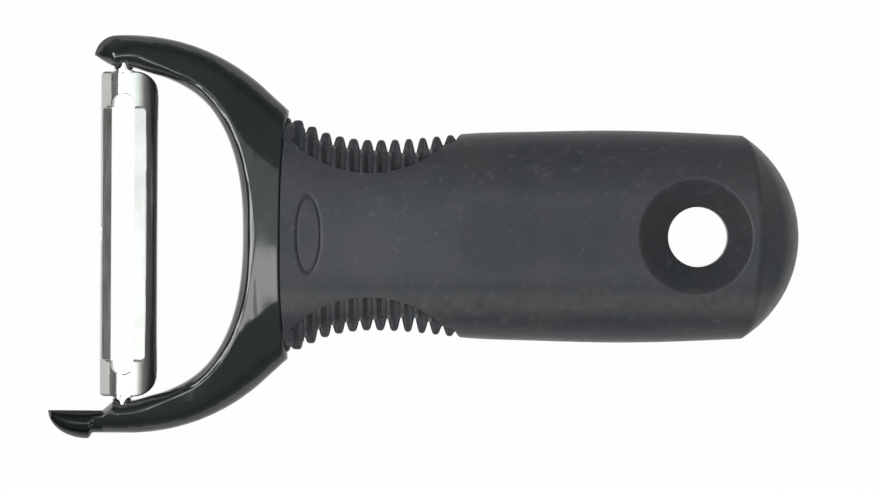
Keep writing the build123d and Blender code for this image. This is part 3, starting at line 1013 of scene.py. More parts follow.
@dataclass
class GripShape:
    """The rubber handle: lofted body with hanging hole and rounded butt, and its rows of fins."""

    layout: Layout
    half_width: float = 21.2
    half_height: float = 10.5
    crown: float = 0.2
    exponent: float = 2.8
    length: float = 102.0
    collar_half: float = 7.8
    station_shares: tuple = (
        -0.023, 0.022, 0.071, 0.130, 0.208, 0.286, 0.345, 0.482, 0.653, 0.875, 1.051,
    )
    width_shares: tuple = (
        1.138, 1.075, 0.968, 0.908, 0.903, 0.933, 0.962, 0.986, 1.000, 0.962, 0.912,
    )
    height_shares: tuple = (
        0.735, 0.735, 0.740, 0.775, 0.860, 0.950, 1.000, 1.000, 1.000, 1.000, 1.000,
    )
    row_station_shares: tuple = (
        0.0, 0.012, 0.035, 0.060, 0.088, 0.142, 0.196, 0.248, 0.276, 0.300, 0.327, 0.342,
    )
    row_width_shares: tuple = (
        1.060, 1.040, 0.958, 0.885, 0.845, 0.807, 0.788, 0.778, 0.812, 0.849, 0.892, 0.965,
    )
    nose_radius: float = 24.7
    nose_setback: float = 7.4
    nose_squash: float = 0.976
    nose_crease: float = 0.6
    nose_rate: float = 0.8
    nose_round: float = 3.0
    crease_radius: float = 40.0
    corner_blend: float = 0.35
    hole_from_butt: float = 20.2
    hole_radius: float = 6.0
    flare_radius: float = 11.15
    flare_lead: float = 0.45
    flare_depth: float = 5.0
    flare_power: float = 1.05
    flare_lip: float = 0.5
    hole_break: float = 0.15
    neck_from_hole: float = 14.7
    bay_radius: float = 22.1
    bay_from_seam: float = 16.2
    bay_floor: float = 12.4
    fin_pitch: float = 2.76
    fin_count: int = 12
    first_fin: float = 1.9
    slot_width: float = 1.9
    lobe_width: float = 1.26
    lobe_count: int = 7
    fin_fall: float = 1.2
    fin_close: float = 0.4
    slot_shift: float = 0.32
    row_half: float = 3.0
    row_root: float = 1.5
    notch_end: float = 33.3
    notch_ramp: float = 1.2
    oval_from_seam: float = 4.0
    oval_half_length: float = 7.45
    oval_half_width: float = 2.25
    oval_depth: float = 0.45
    oval_margin: float = 0.25
    oval_edge: float = 0.18
    across_count: int = 91
    body_crease: float = 50.0
    fin_crease: float = 42.0

    def __post_init__(self) -> None:
        """Works out the places that several methods use."""
        seam = self.layout.seam_x
        self.stations = seam + self.length * np.array(self.station_shares)
        self.widths = self.half_width * np.array(self.width_shares)
        self.heights = (self.half_height + self.crown) * np.array(self.height_shares)
        self.row_stations = seam + self.length * np.array(self.row_station_shares)
        self.row_widths = self.half_width * np.array(self.row_width_shares)
        self.hole_x = self.layout.butt_x - self.hole_from_butt
        self.nose_x = self.layout.butt_x - self.nose_radius
        self.neck_x = self.hole_x - self.neck_from_hole
        self.bay_x = seam + self.bay_from_seam
        self.bay_y = self.bay_floor + self.bay_radius

    def butt_height(self, x: Array, y: Array) -> Array:
        """Butt's face: a cone's slope from the crease, then a quarter ellipse to the outline.

        The crease is a wide arc, so that the face is deep on the axis and thins out to the corners.

        Args:
            x: Places along the peeler.
            y: Places across it.

        Returns:
            The height, in millimetres.
        """
        square = self.nose_radius**2 - (y / self.nose_squash) ** 2
        edge = self.nose_x + np.sqrt(np.clip(square, 0.0, None))
        sag = self.crease_radius - np.sqrt(self.crease_radius**2 - y**2)
        crease = self.layout.butt_x - self.nose_setback - sag
        inward = np.maximum(edge - x, 0.0) * self.nose_setback / np.maximum(edge - crease, 0.2)
        lift = self.half_height - self.nose_rate * self.nose_setback
        past = np.clip(1 - inward / self.nose_round, 0.0, 1.0)
        return self.nose_rate * inward + lift * np.sqrt(1 - past**2)

    def full_width(self, x: Array) -> Array:
        """Half width of the whole handle along it."""
        return smooth_curve(x, self.stations, self.widths)

    def row_width(self, x: Array) -> Array:
        """Half width at the bottom of the notches between the tall teeth."""
        return smooth_curve(x, self.row_stations, self.row_widths)

    def bay(self, x: Array) -> Array:
        """Half width to which the slots between the front fins are sunk: an arc."""
        inside = np.clip(self.bay_radius**2 - (x - self.bay_x) ** 2, 0.0, None)
        return self.bay_y - np.sqrt(inside)

    def core_width(self, x: Array) -> Array:
        """Half width of the solid core: the bay beside the fins, then the whole handle.

        Args:
            x: Places along the peeler.

        Returns:
            The half width, in millimetres.
        """
        core = np.minimum(self.bay(x), self.row_width(x))
        share = np.clip((x - self.layout.seam_x - self.notch_end) / self.notch_ramp, 0.0, 1.0)
        return core + (self.full_width(x) - core) * share

    def height(self, x: Array, y: Array) -> Array:
        """Front face over the middle plane.

        The section is a superellipse, cut flat at the belly's height, and meets the butt's turned
        arc with a soft crease. The plain oval behind the collar is let in a little.

        Args:
            x: Places along the peeler.
            y: Places across it.

        Returns:
            The height, in millimetres.
        """
        width = self.full_width(x)
        share = np.clip(1 - np.abs(y / width) ** self.exponent, 0.0, 1.0)
        top = smooth_curve(x, self.stations, self.heights) * share ** (1 / self.exponent)
        top = soft_min(top, np.full_like(top, self.half_height), self.crown)
        top = np.where(x > self.nose_x, soft_min(top, self.butt_height(x, y), self.nose_crease), top)
        return np.maximum(top - self.oval_sink(x, y), 0.0)

    def oval_sink(self, x: Array, y: Array) -> Array:
        """Depth of the oval's bed: even inside it and fading out over its edge.

        Args:
            x: Places along the peeler.
            y: Places across it.

        Returns:
            The depth, in millimetres.
        """
        from_seam = x - self.layout.seam_x - self.oval_from_seam
        across = from_seam / (self.oval_half_width + self.oval_margin)
        along = y / (self.oval_half_length + self.oval_margin)
        return self.oval_depth * smoothstep((1 - np.hypot(across, along)) / self.oval_edge + 0.5)

    def section_shares(self, count: int) -> Array:
        """Places across a section from +1 to -1, even in the superellipse's own angle."""
        turn = np.linspace(0.0, math.pi, count)
        return signed_power(np.cos(turn), 2 / self.exponent)

    def neck(self, across: int) -> Shell:
        """Body from the yoke to the hole: sections of the height field, mirrored to the back.

        A column keeps its share of the core's width, and its first row lies on the bulged seam.

        Args:
            across: Number of points across the face.

        Returns:
            The neck's surface.
        """
        share = self.section_shares(across)[None, :]
        start = np.full_like(share, self.layout.seam_x)
        for _ in range(6):
            z = self.height(start, share * self.core_width(start))
            start = self.layout.seam_at(z, self.collar_half)
        part = self.neck_steps()[:, None]
        x = start + (self.neck_x - start) * part
        y = share * self.core_width(x)
        z = self.height(x, y)
        front = np.stack([x, y, z], axis=-1)
        wall = np.linspace(0.0, 1.0, 5)[None, :-1, None]
        rise = np.array([1.0, 1.0, 0.0]) + np.array([0.0, 0.0, 1.0]) * wall
        right = front[:, :1] * rise
        left = (front[:, -1:] * rise)[:, ::-1]
        half = np.concatenate([right, front, left], axis=1)
        back = half[:, ::-1][:, 1:-1] * [1.0, 1.0, -1.0]
        return Shell(np.concatenate([half, back], axis=1))

    def neck_steps(self) -> Array:
        """Shares along the neck: close together beside the seam and at the end of the fins."""
        span = self.neck_x - self.layout.seam_x
        knots = np.array([0.0, 8.0, self.notch_end - 0.4, self.notch_end + self.notch_ramp + 0.4, span])
        counts = (34, 44, 14, 46)
        stretches = zip(knots[:-1], knots[1:], counts)
        runs = [np.linspace(low, high, count)[:-1] for low, high, count in stretches]
        return np.append(np.concatenate(runs), span) / span

    def seam_cap(self, across: int) -> Shell:
        """Hidden end face: the first section drawn in to the axis in two steps.

        Args:
            across: Number of points across the face.

        Returns:
            The cap's surface.
        """
        edge = self.neck(across).points[0]
        inner = edge * [1.0, 0.5, 0.5]
        inner[:, 0] = self.layout.seam_at(inner[:, 2], self.collar_half)
        centre = np.broadcast_to([self.layout.seam_x, 0.0, 0.0], edge.shape)
        return Shell(np.stack([edge, inner, centre]))

    def corner_width(self, x: Array) -> Array:
        """Half width beside the butt's arc, with the corner between side and arc rounded.

        Args:
            x: Places along the peeler.

        Returns:
            The half width, in millimetres.
        """
        past = np.clip(x - self.nose_x, 0.0, self.nose_radius)
        arc = self.nose_squash * np.sqrt(self.nose_radius**2 - past**2)
        rounded = soft_min(self.full_width(x), arc, self.corner_blend)
        return np.where(arc > 0.6 * self.half_width, rounded, arc)

    def butt_outline(self, across: int) -> Array:
        """Outline round the hole on the middle plane: the neck's end, the sides and the butt.

        Args:
            across: Number of points across the face.

        Returns:
            Points of the outline, in order.
        """
        share = self.section_shares(across)
        neck_x = np.full(across, self.neck_x)
        neck = np.stack([neck_x, share * self.core_width(neck_x)], axis=-1)
        angle_low, angle_high = 0.0, math.pi / 2
        for _ in range(40):
            middle = (angle_low + angle_high) / 2
            x = self.nose_x + self.nose_radius * math.cos(middle)
            arc_y = self.nose_squash * self.nose_radius * math.sin(middle)
            outside = arc_y > self.full_width(np.array(x))
            angle_low, angle_high = (angle_low, middle) if outside else (middle, angle_high)
        side_x = np.linspace(self.nose_x + self.nose_radius * math.cos(angle_low), self.neck_x, 60)
        side = np.stack([side_x, self.corner_width(side_x)], axis=-1)
        turn = np.linspace(-angle_low, angle_low, 130)
        butt_x = self.nose_x + self.nose_radius * np.cos(turn)
        butt = np.stack([butt_x, np.sign(turn) * self.corner_width(butt_x)], axis=-1)
        lower = (side * [1.0, -1.0])[::-1]
        return np.vstack([neck, lower[1:], butt[1:-1], side[:-1]])

    def hole_end(self, across: int) -> Shell:
        """Front half of the body round the hanging hole.

        Columns run from the hole's middle up its wall, through the flare, which climbs with a
        power of the way out, over its lip and on across the face to the outline.

        Args:
            across: Number of points across the face.

        Returns:
            The front half's surface.
        """
        outline = self.butt_outline(across)
        toward = outline - [self.hole_x, 0.0]
        turn = np.arctan2(toward[:, 1], toward[:, 0])
        ray = np.stack([np.cos(turn), np.sin(turn)], axis=-1)
        lip = self.flare_lip
        edge = self.flare_place(ray, self.flare_radius + lip)
        edge_z = self.height(edge[:, 0], edge[:, 1])
        floor = self.half_height - self.flare_depth
        rows = []
        for step in (0.0, 0.5, 0.86, 0.96):
            rows.append(self.ring_row(ray, self.hole_radius, floor * step))
        start = self.hole_radius + self.hole_break
        lip_drop = 0.45 * lip
        for step in np.linspace(0.0, 1.0, 20):
            climb = (edge_z - lip_drop - floor) * step**self.flare_power
            rows.append(self.ring_row(ray, start + (self.flare_radius - start) * step, floor + climb))
        for step in (0.3, 0.6, 0.85):
            sink = lip_drop * (1 - step) ** 2
            rows.append(self.ring_row(ray, self.flare_radius + lip * step, edge_z - sink))
        for step in eased(46, 1.8):
            place = edge + (outline - edge) * step
            rows.append(np.column_stack([place, self.height(place[:, 0], place[:, 1])]))
        foot = rows[-1].copy()
        foot[across:, 2] = 0.0
        return Shell(np.stack([*rows, foot]))

    def flare_place(self, ray: Array, reach: float) -> Array:
        """Circle round the hole, whose centre moves towards the neck as it widens."""
        share = max(reach - self.hole_radius, 0.0) / (self.flare_radius - self.hole_radius)
        return [self.hole_x - self.flare_lead * share, 0.0] + ray * reach

    def ring_row(self, ray: Array, reach: float, height: Array) -> Array:
        """Row of points round the hole at a radius and a height."""
        return np.column_stack([self.flare_place(ray, reach), np.broadcast_to(height, len(ray))])

    def oval(self) -> Shell:
        """Plain oval let into the bed behind the collar: a thin pad with a rounded edge.

        Returns:
            The pad's surface.
        """
        turn = full_turn(96)
        centre_x = self.layout.seam_x + self.oval_from_seam
        shares = (0.0, 0.5, 0.9, 0.96, 0.99, 1.0, 1.0)
        sinks = (0.0, 0.0, 0.0, 0.02, 0.07, 0.14, 0.9)
        rows = []
        for share, sink in zip(shares, sinks):
            x = centre_x + share * self.oval_half_width * np.cos(turn)
            y = share * self.oval_half_length * np.sin(turn)
            z = self.height(x, y) + self.oval_sink(x, y) - sink
            rows.append(np.column_stack([x, y, z]))
        rows.append(rows[-1] * [0.0, 0.0, 1.0] + [centre_x, 0.0, 0.0])
        return Shell(np.stack(rows))

    def tooth_line(self, size: float) -> Array:
        """Outline of the tall teeth along the upper side.

        A tooth's flanks lean in straight to its rounded tip, which is narrower on the teeth
        farther from the collar.

        Args:
            size: Share of the full tooth, less than 1 for its rounded edge.
        """
        rise = np.array([0.0, 0.2, 0.4, 0.6, 0.72, 0.82, 0.9, 0.96, 0.99, 1.0])
        close = np.array([1.0, 1.0, 1.0, 1.0, 0.99, 0.95, 0.86, 0.68, 0.4, 0.0])
        number = np.arange(self.fin_count)[:, None]
        offset = 0.45 * self.fin_pitch * (1 - rise * (0.36 + 0.018 * number)) * close
        offset = np.concatenate([-offset, offset[:, -2::-1]], axis=1) * (1 - 0.6 * (1 - size))
        rise = np.concatenate([rise, rise[-2::-1]])
        centres = self.layout.seam_x + self.first_fin + self.fin_pitch * number
        x = centres + offset
        low, high = self.row_width(x), self.full_width(centres)
        y = low + (high - low - (1 - size)) * rise
        bead_x = self.layout.seam_x + np.array([-0.6, -0.1, 0.3, 0.5])
        bead_y = self.full_width(bead_x) - np.array([0.15, 0.1, 0.3, 0.8]) - (1 - size)
        line_x = np.concatenate([bead_x, x.ravel(), [x[-1, -1] + 0.4]])
        line_y = np.concatenate([bead_y, y.ravel(), [y[-1, -1]]])
        return np.stack([line_x, line_y], axis=-1)

    def tall_row(self, side: Side) -> Shell:
        """Middle row of teeth: the toothed outline through its thickness, rounded front and back.

        Args:
            side: Upper or lower side of the peeler.

        Returns:
            The row's surface.
        """
        sizes = (0.62, 0.86, 1.0, 1.0, 1.0, 0.86, 0.62)
        levels = (1.0, 0.93, 0.68, 0.0, -0.68, -0.93, -1.0)
        lines = [self.tooth_line(size) for size in sizes]
        root = np.stack([lines[0][:, 0], self.bay(lines[0][:, 0]) - self.row_root], axis=-1)
        rows = []
        for line, level in zip((*lines, root, root), (*levels, -1.0, 1.0)):
            rows.append(np.column_stack([line, np.full(len(line), level * self.row_half)]))
        points = np.stack(rows) * [1.0, side.value, 1.0]
        return Shell(points.transpose(1, 0, 2), cap_ends=True)

    def fin(
        self, left: float, right: float, tip: float, share: float, side: Side, face: int
    ) -> Shell:
        """A thin wall that stands out of the bay, rounded along its top and over its end.

        Args:
            left: Place of its flank towards the collar.
            right: Place of its other flank.
            tip: How far out from the axis it reaches.
            share: Its height as a share of the body's face.
            side: Side of the handle.
            face: +1 for the front row, -1 for the back row.
        """
        centre, half = (left + right) / 2, (right - left) / 2
        bay = float(self.bay(np.array(centre)))
        root = bay - 0.4
        y = root + (tip - root) * eased(15, 1.7)
        fall = np.clip((y - tip) / self.fin_fall + 1.0, 0.0, 1.0)
        close = np.clip((y - tip) / max(self.fin_close, half) + 1.0, 0.0, 1.0)
        foot = 0.75 * self.row_half
        across = np.array([-1.0, -1.0, -1.0, -0.88, -0.55, 0.0, 0.55, 0.88, 1.0, 1.0, 1.0])
        level = np.array([0.0, 0.5, 0.92, 0.98, 1.0, 1.0, 1.0, 0.98, 0.92, 0.5, 0.0])
        x = centre + half * across[None, :] * np.sqrt(1 - 0.95 * close**2)[:, None]
        top = share * self.height(np.full_like(y, centre), y)
        top = top - 0.08 * smoothstep((bay + 0.3 - y) / 0.4)  # lies just under the body's face
        top = foot + (top - foot) * np.sqrt(1 - 0.97 * fall**2)
        z = foot + (top - foot)[:, None] * level[None, :]
        points = np.stack([x, np.broadcast_to(side.value * y[:, None], x.shape), face * z], axis=-1)
        return Shell(points, cap_ends=True)

    def front_fins(self, side: Side, face: int) -> list[Shell]:
        """Front row: bars flush with the body, and a lower lobe beside each near the collar."""
        shells = []
        slot = self.layout.seam_x + self.first_fin + self.slot_shift
        for index in range(self.fin_count):
            right = slot + index * self.fin_pitch - self.slot_width / 2
            left = right - self.fin_pitch + self.slot_width if index else self.layout.seam_x - 1.2
            tip = float(self.row_width(np.array((left + right) / 2))) + 0.1
            shells.append(self.fin(left, right, tip, 1.0, side, face))
            if index < self.lobe_count:
                far = right + self.slot_width + 0.05
                row = float(self.row_width(np.array(far - self.lobe_width / 2)))
                reach, share = row + 0.45 - 0.12 * index, 0.8 - 0.02 * index
                shells.append(self.fin(far - self.lobe_width, far, reach, share, side, face))
        return shells

    def build_body(self) -> bpy.types.Object:
        """Body of the grip as one closed object.

        Returns:
            The body, at the origin.
        """
        across = self.across_count
        end = self.hole_end(across)
        back = Shell(end.points * [1.0, 1.0, -1.0])
        shells = [self.neck(across), self.seam_cap(across), end, back, self.oval()]
        return make_piece("grip_body", shells, self.layout, self.body_crease)

    def build_fins(self) -> bpy.types.Object:
        """All fins of the grip as one object.

        Returns:
            The fins, at the origin.
        """
        shells = [self.tall_row(side) for side in Side]
        for side in Side:
            for face in (1, -1):
                shells += self.front_fins(side, face)
        return make_piece("grip_fins", shells, self.layout, self.fin_crease)


class NodeSheet:
    """Small helper that adds nodes to a material's or the world's tree and links them."""

    def __init__(self, tree: bpy.types.NodeTree) -> None:
        """Starts on an emptied tree."""
        self.tree = tree
        tree.nodes.clear()

    @classmethod
    def for_material(cls, name: str) -> tuple["NodeSheet", bpy.types.Material]:
        """The sheet of a new material, and the material.

        Args:
            name: Plain name of the material.

        Returns:
            The sheet and the material.
        """
        material = bpy.data.materials.new(name)
        material.use_nodes = True
        return cls(material.node_tree), material

    def add(self, kind: str, inputs: dict | None = None, **settings: object) -> bpy.types.Node:
        """A node with its settings, whose inputs are values or outputs of other nodes.

        Args:
            kind: Blender's name of the node.
            inputs: Values and sockets by the input's name or number.
            settings: Attributes of the node.

        Returns:
            The node.
        """
        node = self.tree.nodes.new(kind)
        for key, value in settings.items():
            setattr(node, key, value)
        for key, value in (inputs or {}).items():
            if isinstance(value, bpy.types.NodeSocket):
                self.tree.links.new(value, node.inputs[key])
            else:
                node.inputs[key].default_value = value
        return node

    def noise(self, vector: bpy.types.NodeSocket, scale: float, detail: float = 3.0, rough: float = 0.5):
        """Noise of a scale, as its grey output."""
        inputs = {"Vector": vector, "Scale": scale, "Detail": detail, "Roughness": rough}
        return self.add("ShaderNodeTexNoise", inputs).outputs["Fac"]

    def span(self, value: bpy.types.NodeSocket, low: float, high: float, to_low: float, to_high: float):
        """A value moved from one span to another and held inside it."""
        inputs = {"Value": value, "From Min": low, "From Max": high, "To Min": to_low, "To Max": to_high}
        return self.add("ShaderNodeMapRange", inputs).outputs["Result"]

    def mix(self, share: Value, first: Value, second: Value) -> bpy.types.NodeSocket:
        """Colour between two colours, by a share.

        Args:
            share: Share of the second colour.
            first: Colour at a share of 0.
            second: Colour at a share of 1.

        Returns:
            The mixed colour.
        """
        node = self.add("ShaderNodeMix", data_type="RGBA")
        for socket, value in ((node.inputs[0], share), (node.inputs[6], first), (node.inputs[7], second)):
            if isinstance(value, bpy.types.NodeSocket):
                self.tree.links.new(value, socket)
            else:
                socket.default_value = value
        return node.outputs[2]

    def bump(self, height: bpy.types.NodeSocket, distance: float, strength: float, normal=None):
        """Bump from a height, on top of another bump where one is given."""
        inputs = {"Height": height, "Distance": distance, "Strength": strength}
        if normal is not None:
            inputs["Normal"] = normal
        return self.add("ShaderNodeBump", inputs).outputs["Normal"]

    def arithmetic(self, operation: str, first: Value, second: Value = 0.0) -> bpy.types.NodeSocket:
        """Result of one operation on values or sockets."""
        return self.add("ShaderNodeMath", {0: first, 1: second}, operation=operation).outputs[0]

    def surface(self, colour: Value, rough: Value, normal: Value, constants: dict) -> None:
        """Joins a principled shader to the output, with three inputs and some constants.

        Args:
            colour: Base colour.
            rough: Roughness.
            normal: Normal, with its bumps.
            constants: Further inputs, by the name of the socket.
        """
        inputs = {"Base Color": colour, "Roughness": rough, "Normal": normal, **constants}
        shader = self.add("ShaderNodeBsdfPrincipled", inputs)
        self.add("ShaderNodeOutputMaterial", {"Surface": shader.outputs[0]})

    def scaled(self, scale: tuple[float, float, float] = (1.0, 1.0, 1.0)) -> bpy.types.NodeSocket:
        """Object coordinates, scaled along each axis."""
        place = self.add("ShaderNodeTexCoord").outputs["Object"]
        return self.add("ShaderNodeMapping", {"Vector": place, "Scale": scale}).outputs["Vector"]


@dataclass(frozen=True)
class GlossPlastic:
    """Glossy dark moulding: near-black with a green-blue cast, long soft waves and fine dust."""

    colour: tuple = (0.0150, 0.0195, 0.0200, 1.0)
    pale: tuple = (0.0200, 0.0240, 0.0235, 1.0)
    roughness: float = 0.09
    rough_spread: float = 0.06
    wave_scale: float = 380.0
    wave_depth: float = 0.0003
    dust_depth: float = 0.000004

    def make(self) -> bpy.types.Material:
        """The material."""
        sheet, material = NodeSheet.for_material("yoke_gloss")
        place = sheet.scaled()
        flow = sheet.noise(place, 55.0, 2.0)
        dust = sheet.noise(place, 2600.0, 2.0, 0.6)
        colour = sheet.mix(sheet.span(flow, 0.35, 0.7, 0.0, 1.0), self.colour, self.pale)
        smears = sheet.noise(place, 420.0, 4.0)
        rough = sheet.span(smears, 0.4, 0.75, self.roughness, self.roughness + self.rough_spread)
        waves = sheet.noise(sheet.scaled((1.0, 0.2, 1.0)), self.wave_scale, 1.0)
        normal = sheet.bump(dust, self.dust_depth, 0.25, sheet.bump(waves, self.wave_depth, 0.9))
        sheet.surface(colour, rough, normal, {"IOR": 1.5, "Coat Weight": 0.25, "Coat Roughness": 0.04})
        return material


@dataclass(frozen=True)
class PolishedSteel:
    """Polished stainless steel, drawn along the blade: fine lines lengthwise and a warm dark tint."""

    colour: tuple = (0.73, 0.73, 0.705, 1.0)
    dull: tuple = (0.63, 0.63, 0.60, 1.0)
    roughness: float = 0.2
    line_depth: float = 0.000004

    def make(self) -> bpy.types.Material:
        """The material."""
        sheet, material = NodeSheet.for_material("blade_polished")
        lines = sheet.noise(sheet.scaled((1.0, 0.03, 1.0)), 3800.0, 3.0, 0.6)
        patches = sheet.noise(sheet.scaled(), 160.0, 3.0)
        colour = sheet.mix(sheet.span(patches, 0.35, 0.7, 0.0, 1.0), self.colour, self.dull)
        rough = sheet.span(lines, 0.3, 0.7, self.roughness - 0.04, self.roughness + 0.06)
        sheet.surface(colour, rough, sheet.bump(lines, self.line_depth, 0.3), {"Metallic": 1.0})
        return material


@dataclass(frozen=True)
class MattRubber:
    """Matt charcoal rubber: cloudy marks, a moulded grain, pale specks and a painted highlight in a band
    low down.
    """

    colour: tuple = (0.0405, 0.0455, 0.0505, 1.0)
    pale: tuple = (0.0580, 0.0555, 0.0615, 1.0)
    speck: tuple = (0.1000, 0.1030, 0.1060, 1.0)
    # Painted highlight: colour, place across the handle and half width of a lighter band where a lamp's
    # sheen falls on the lower side.
    painted_highlight: tuple = (0.0850, 0.0880, 0.0900, 1.0)
    highlight_y: float = -0.0134
    highlight_half: float = 0.0032
    roughness: float = 0.42
    mottle_depth: float = 0.00003
    grain_depth: float = 0.00002

    def make(self) -> bpy.types.Material:
        """The material."""
        sheet, material = NodeSheet.for_material("grip_rubber")
        place = sheet.scaled()
        cloud = sheet.noise(place, 75.0, 4.0, 0.6)
        mottle = sheet.noise(place, 620.0, 3.0, 0.6)
        grain = sheet.noise(place, 2400.0, 2.0, 0.6)
        base = sheet.mix(sheet.span(cloud, 0.32, 0.72, 0.0, 1.0), self.colour, self.pale)
        base = sheet.mix(sheet.span(mottle, 0.58, 0.76, 0.0, 0.7), base, self.speck)
        # Painted highlight: the lower side is lightened in a band, broken up by the mottle.
        across = sheet.add("ShaderNodeSeparateXYZ", {"Vector": place}).outputs["Y"]
        away = sheet.arithmetic("ABSOLUTE", sheet.arithmetic("SUBTRACT", across, self.highlight_y))
        band = sheet.span(away, 0.3 * self.highlight_half, self.highlight_half, 0.85, 0.0)
        band = sheet.arithmetic("MULTIPLY", band, sheet.span(mottle, 0.3, 0.6, 0.45, 1.0))
        base = sheet.mix(band, base, self.painted_highlight)
        rough = sheet.span(mottle, 0.3, 0.7, self.roughness - 0.06, self.roughness + 0.08)
        normal = sheet.bump(grain, self.grain_depth, 0.35, sheet.bump(mottle, self.mottle_depth, 0.35))
        gloss = {"IOR": 1.5, "Specular IOR Level": 0.36, "Specular Tint": (0.93, 0.98, 1.0, 1.0)}
        sheet.surface(base, rough, normal, {**gloss, "Sheen Weight": 0.01, "Sheen Roughness": 0.4})
        return material


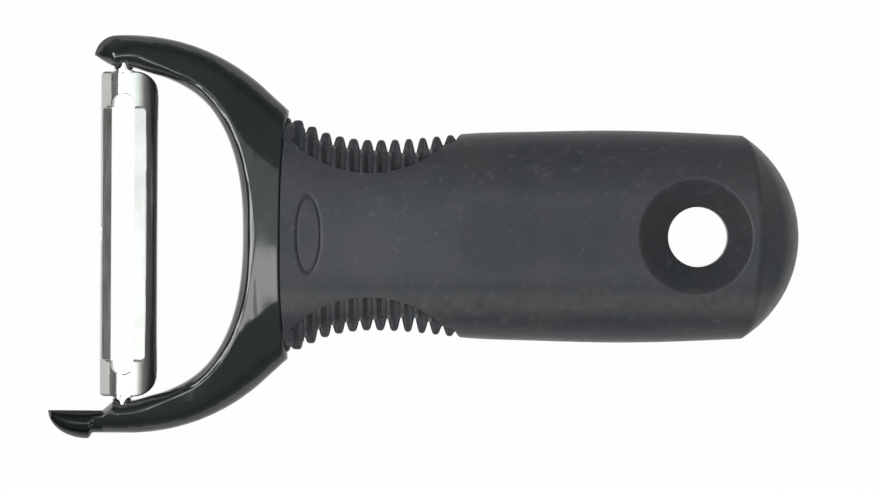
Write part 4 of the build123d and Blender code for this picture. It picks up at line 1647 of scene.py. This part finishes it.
@dataclass
class Studio:
    """White table and surroundings, soft lamps overhead and the camera straight above."""

    layout: Layout
    scale: float = 0.2
    frame_width: float = 880.0
    frame_height: float = 490.0
    axis_column: float = 424.0
    axis_row: float = 235.6
    roll: float = 0.315
    camera_distance: float = 2.0
    sensor: float = 36.0
    floor_size: float = 3.0
    floor_colour: tuple = (0.8, 0.8, 0.8)
    floor_seen: float = 0.98
    room_heights: tuple = (0.03, 0.08, 0.30, 0.60, 0.78, 1.0)
    room_levels: tuple = (1.0, 0.07, 0.07, 0.11, 0.22, 0.30)
    glow_height: float = 0.5
    glow_level: float = 0.55

    def camera(self) -> None:
        """Camera over the photograph's centre, turned as the handle is turned in it."""
        data = bpy.data.cameras.new("camera")
        data.sensor_width = self.sensor
        data.lens = self.sensor * self.camera_distance / (self.frame_width * self.scale * MM)
        camera = add_to_scene("camera", data)
        x = (self.frame_width / 2 - self.axis_column) * self.scale * MM
        y = -(self.frame_height / 2 - self.axis_row) * self.scale * MM
        camera.location = (x, y, self.layout.mid_height * MM + self.camera_distance)
        camera.rotation_euler = (0.0, 0.0, math.radians(self.roll))
        bpy.context.scene.camera = camera

    @staticmethod
    def lamp(
        name: str,
        place: tuple,
        size: tuple,
        radiance: float,
        shows: Shows = Shows.BOTH,
        tint: tuple = WHITE,
    ) -> None:
        """Area lamp that looks down at the object.

        Args:
            name: Name of the lamp.
            place: Its place, in metres.
            size: Its sides along X and Y, in metres.
            radiance: How bright its face is.
            shows: Where its light is seen.
            tint: Its colour.
        """
        data = bpy.data.lights.new(name, "AREA")
        data.shape = "RECTANGLE"
        data.size, data.size_y = size
        data.energy = radiance * math.pi * size[0] * size[1]
        data.color = tint
        lamp = add_to_scene(name, data)
        lamp.location = place
        lamp.visible_glossy = shows is not Shows.MATT
        lamp.visible_diffuse = shows is not Shows.GLOSS

    def floor(self) -> None:
        """White table: it keeps a faint shadow, and shows white to the camera and to reflections."""
        half = self.floor_size / 2
        mesh = bpy.data.meshes.new("table")
        corners = [(-half, -half, 0.0), (half, -half, 0.0), (half, half, 0.0), (-half, half, 0.0)]
        mesh.from_pydata(corners, [], [(0, 1, 2, 3)])
        table = add_to_scene("table", mesh)
        sheet, material = NodeSheet.for_material("table_white")
        matt = sheet.add("ShaderNodeBsdfDiffuse", {"Color": (*self.floor_colour, 1.0)})
        white = sheet.add("ShaderNodeEmission", {"Color": (*WHITE, 1.0), "Strength": 1.0})
        seen = self.seen_share(sheet, self.floor_seen)
        mixed = sheet.add("ShaderNodeMixShader", {0: seen, 1: matt.outputs[0], 2: white.outputs[0]})
        sheet.add("ShaderNodeOutputMaterial", {"Surface": mixed.outputs[0]})
        mesh.materials.append(material)

    @staticmethod
    def seen_share(sheet: NodeSheet, share: float) -> bpy.types.NodeSocket:
        """A share for camera, glossy and transmitted rays, and nothing for the others.

        Args:
            sheet: Sheet on which the nodes go.
            share: Share that those rays get.

        Returns:
            The share for each ray.
        """
        path = sheet.add("ShaderNodeLightPath")
        total = path.outputs["Is Camera Ray"]
        for name in ("Is Glossy Ray", "Is Transmission Ray"):
            total = sheet.arithmetic("MAXIMUM", total, path.outputs[name])
        return sheet.arithmetic("MULTIPLY", total, share)

    def world(self) -> None:
        """Surroundings: white up to the horizon, a dim room above it and a soft glow along Y.

        The glow goes with the square of the direction's Y and fades with its height.
        """
        world = bpy.data.worlds.new("surroundings")
        bpy.context.scene.world = world
        world.use_nodes = True
        sheet = NodeSheet(world.node_tree)
        way = sheet.add("ShaderNodeTexCoord").outputs["Generated"]
        parts = sheet.add("ShaderNodeSeparateXYZ", {"Vector": way}).outputs
        up = parts["Z"]
        fade = sheet.span(up, 0.0, self.glow_height, self.glow_level, 0.0)
        glow = sheet.arithmetic("MULTIPLY", sheet.arithmetic("POWER", parts["Y"], 2.0), fade)
        ramp = sheet.add("ShaderNodeValToRGB", {"Fac": up})
        stops = ramp.color_ramp.elements
        while len(stops) < len(self.room_heights):
            stops.new(0.5)
        for stop, height, level in zip(stops, self.room_heights, self.room_levels):
            stop.position = height
            stop.color = (level, level, level, 1.0)
        total = sheet.arithmetic("ADD", ramp.outputs["Color"], glow)
        room = sheet.add("ShaderNodeBackground", {"Color": (*WHITE, 1.0), "Strength": total})
        sheet.add("ShaderNodeOutputWorld", {"Surface": room.outputs[0]})

    def build(self) -> None:
        """The whole studio."""
        self.camera()
        self.floor()
        self.world()
        self.lamp("strip_low", (-0.5, -0.123, 1.0), (1.5, 0.174), 1.5)
        self.lamp("strip_high", (-0.5, 0.087, 1.0), (1.5, 0.246), 0.92, Shows.BOTH, (0.88, 1.0, 1.0))
        self.lamp("strip_fade", (0.37, 0.0, 1.0), (0.24, 0.42), 0.47)
        self.lamp("strip_end", (0.56, 0.0, 1.0), (0.14, 0.42), 0.08)
        self.lamp("key", (-0.27, -0.12, 0.98), (0.34, 0.18), 3.3)
        self.lamp("edge", (-1.13, 0.0, 0.95), (0.56, 1.8), 8.0, Shows.GLOSS)
        self.lamp("fill", (0.0, -0.05, 1.5), (0.6, 0.6), 8.0, Shows.MATT)
        bpy.context.scene.view_settings.view_transform = "Standard"


def place_piece(
    piece: bpy.types.Object, body: Body, replaced: str, material: bpy.types.Material
) -> None:
    """Dresses a piece, sets it on its body and lets it stand for its solid.

    Args:
        piece: The finished piece.
        body: Body that it rides on.
        replaced: Name of the solid that it stands for.
        material: Its material.
    """
    piece.data.materials.append(material)
    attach(piece, body.value)
    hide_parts(replaced)
    log.info("%s: %d faces, on %s, for %s", piece.name, len(piece.data.polygons), body.value, replaced)


def main() -> None:
    """Builds the peeler round the frame, then the studio."""
    logging.basicConfig(level=logging.INFO, format="%(name)s: %(message)s")
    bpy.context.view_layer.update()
    layout = Layout.from_frame()
    place_piece(YokeShape(layout).build(), Body.FRAME, "yoke_frame", GlossPlastic().make())
    place_piece(BladeShape(layout).build(), Body.BLADE, "swivel_blade", PolishedSteel().make())
    grip, rubber = GripShape(layout), MattRubber().make()
    place_piece(grip.build_body(), Body.FRAME, "grip", rubber)
    place_piece(grip.build_fins(), Body.FRAME, "grip", rubber)
    Studio(layout).build()


if __name__ == "__main__":
    main()
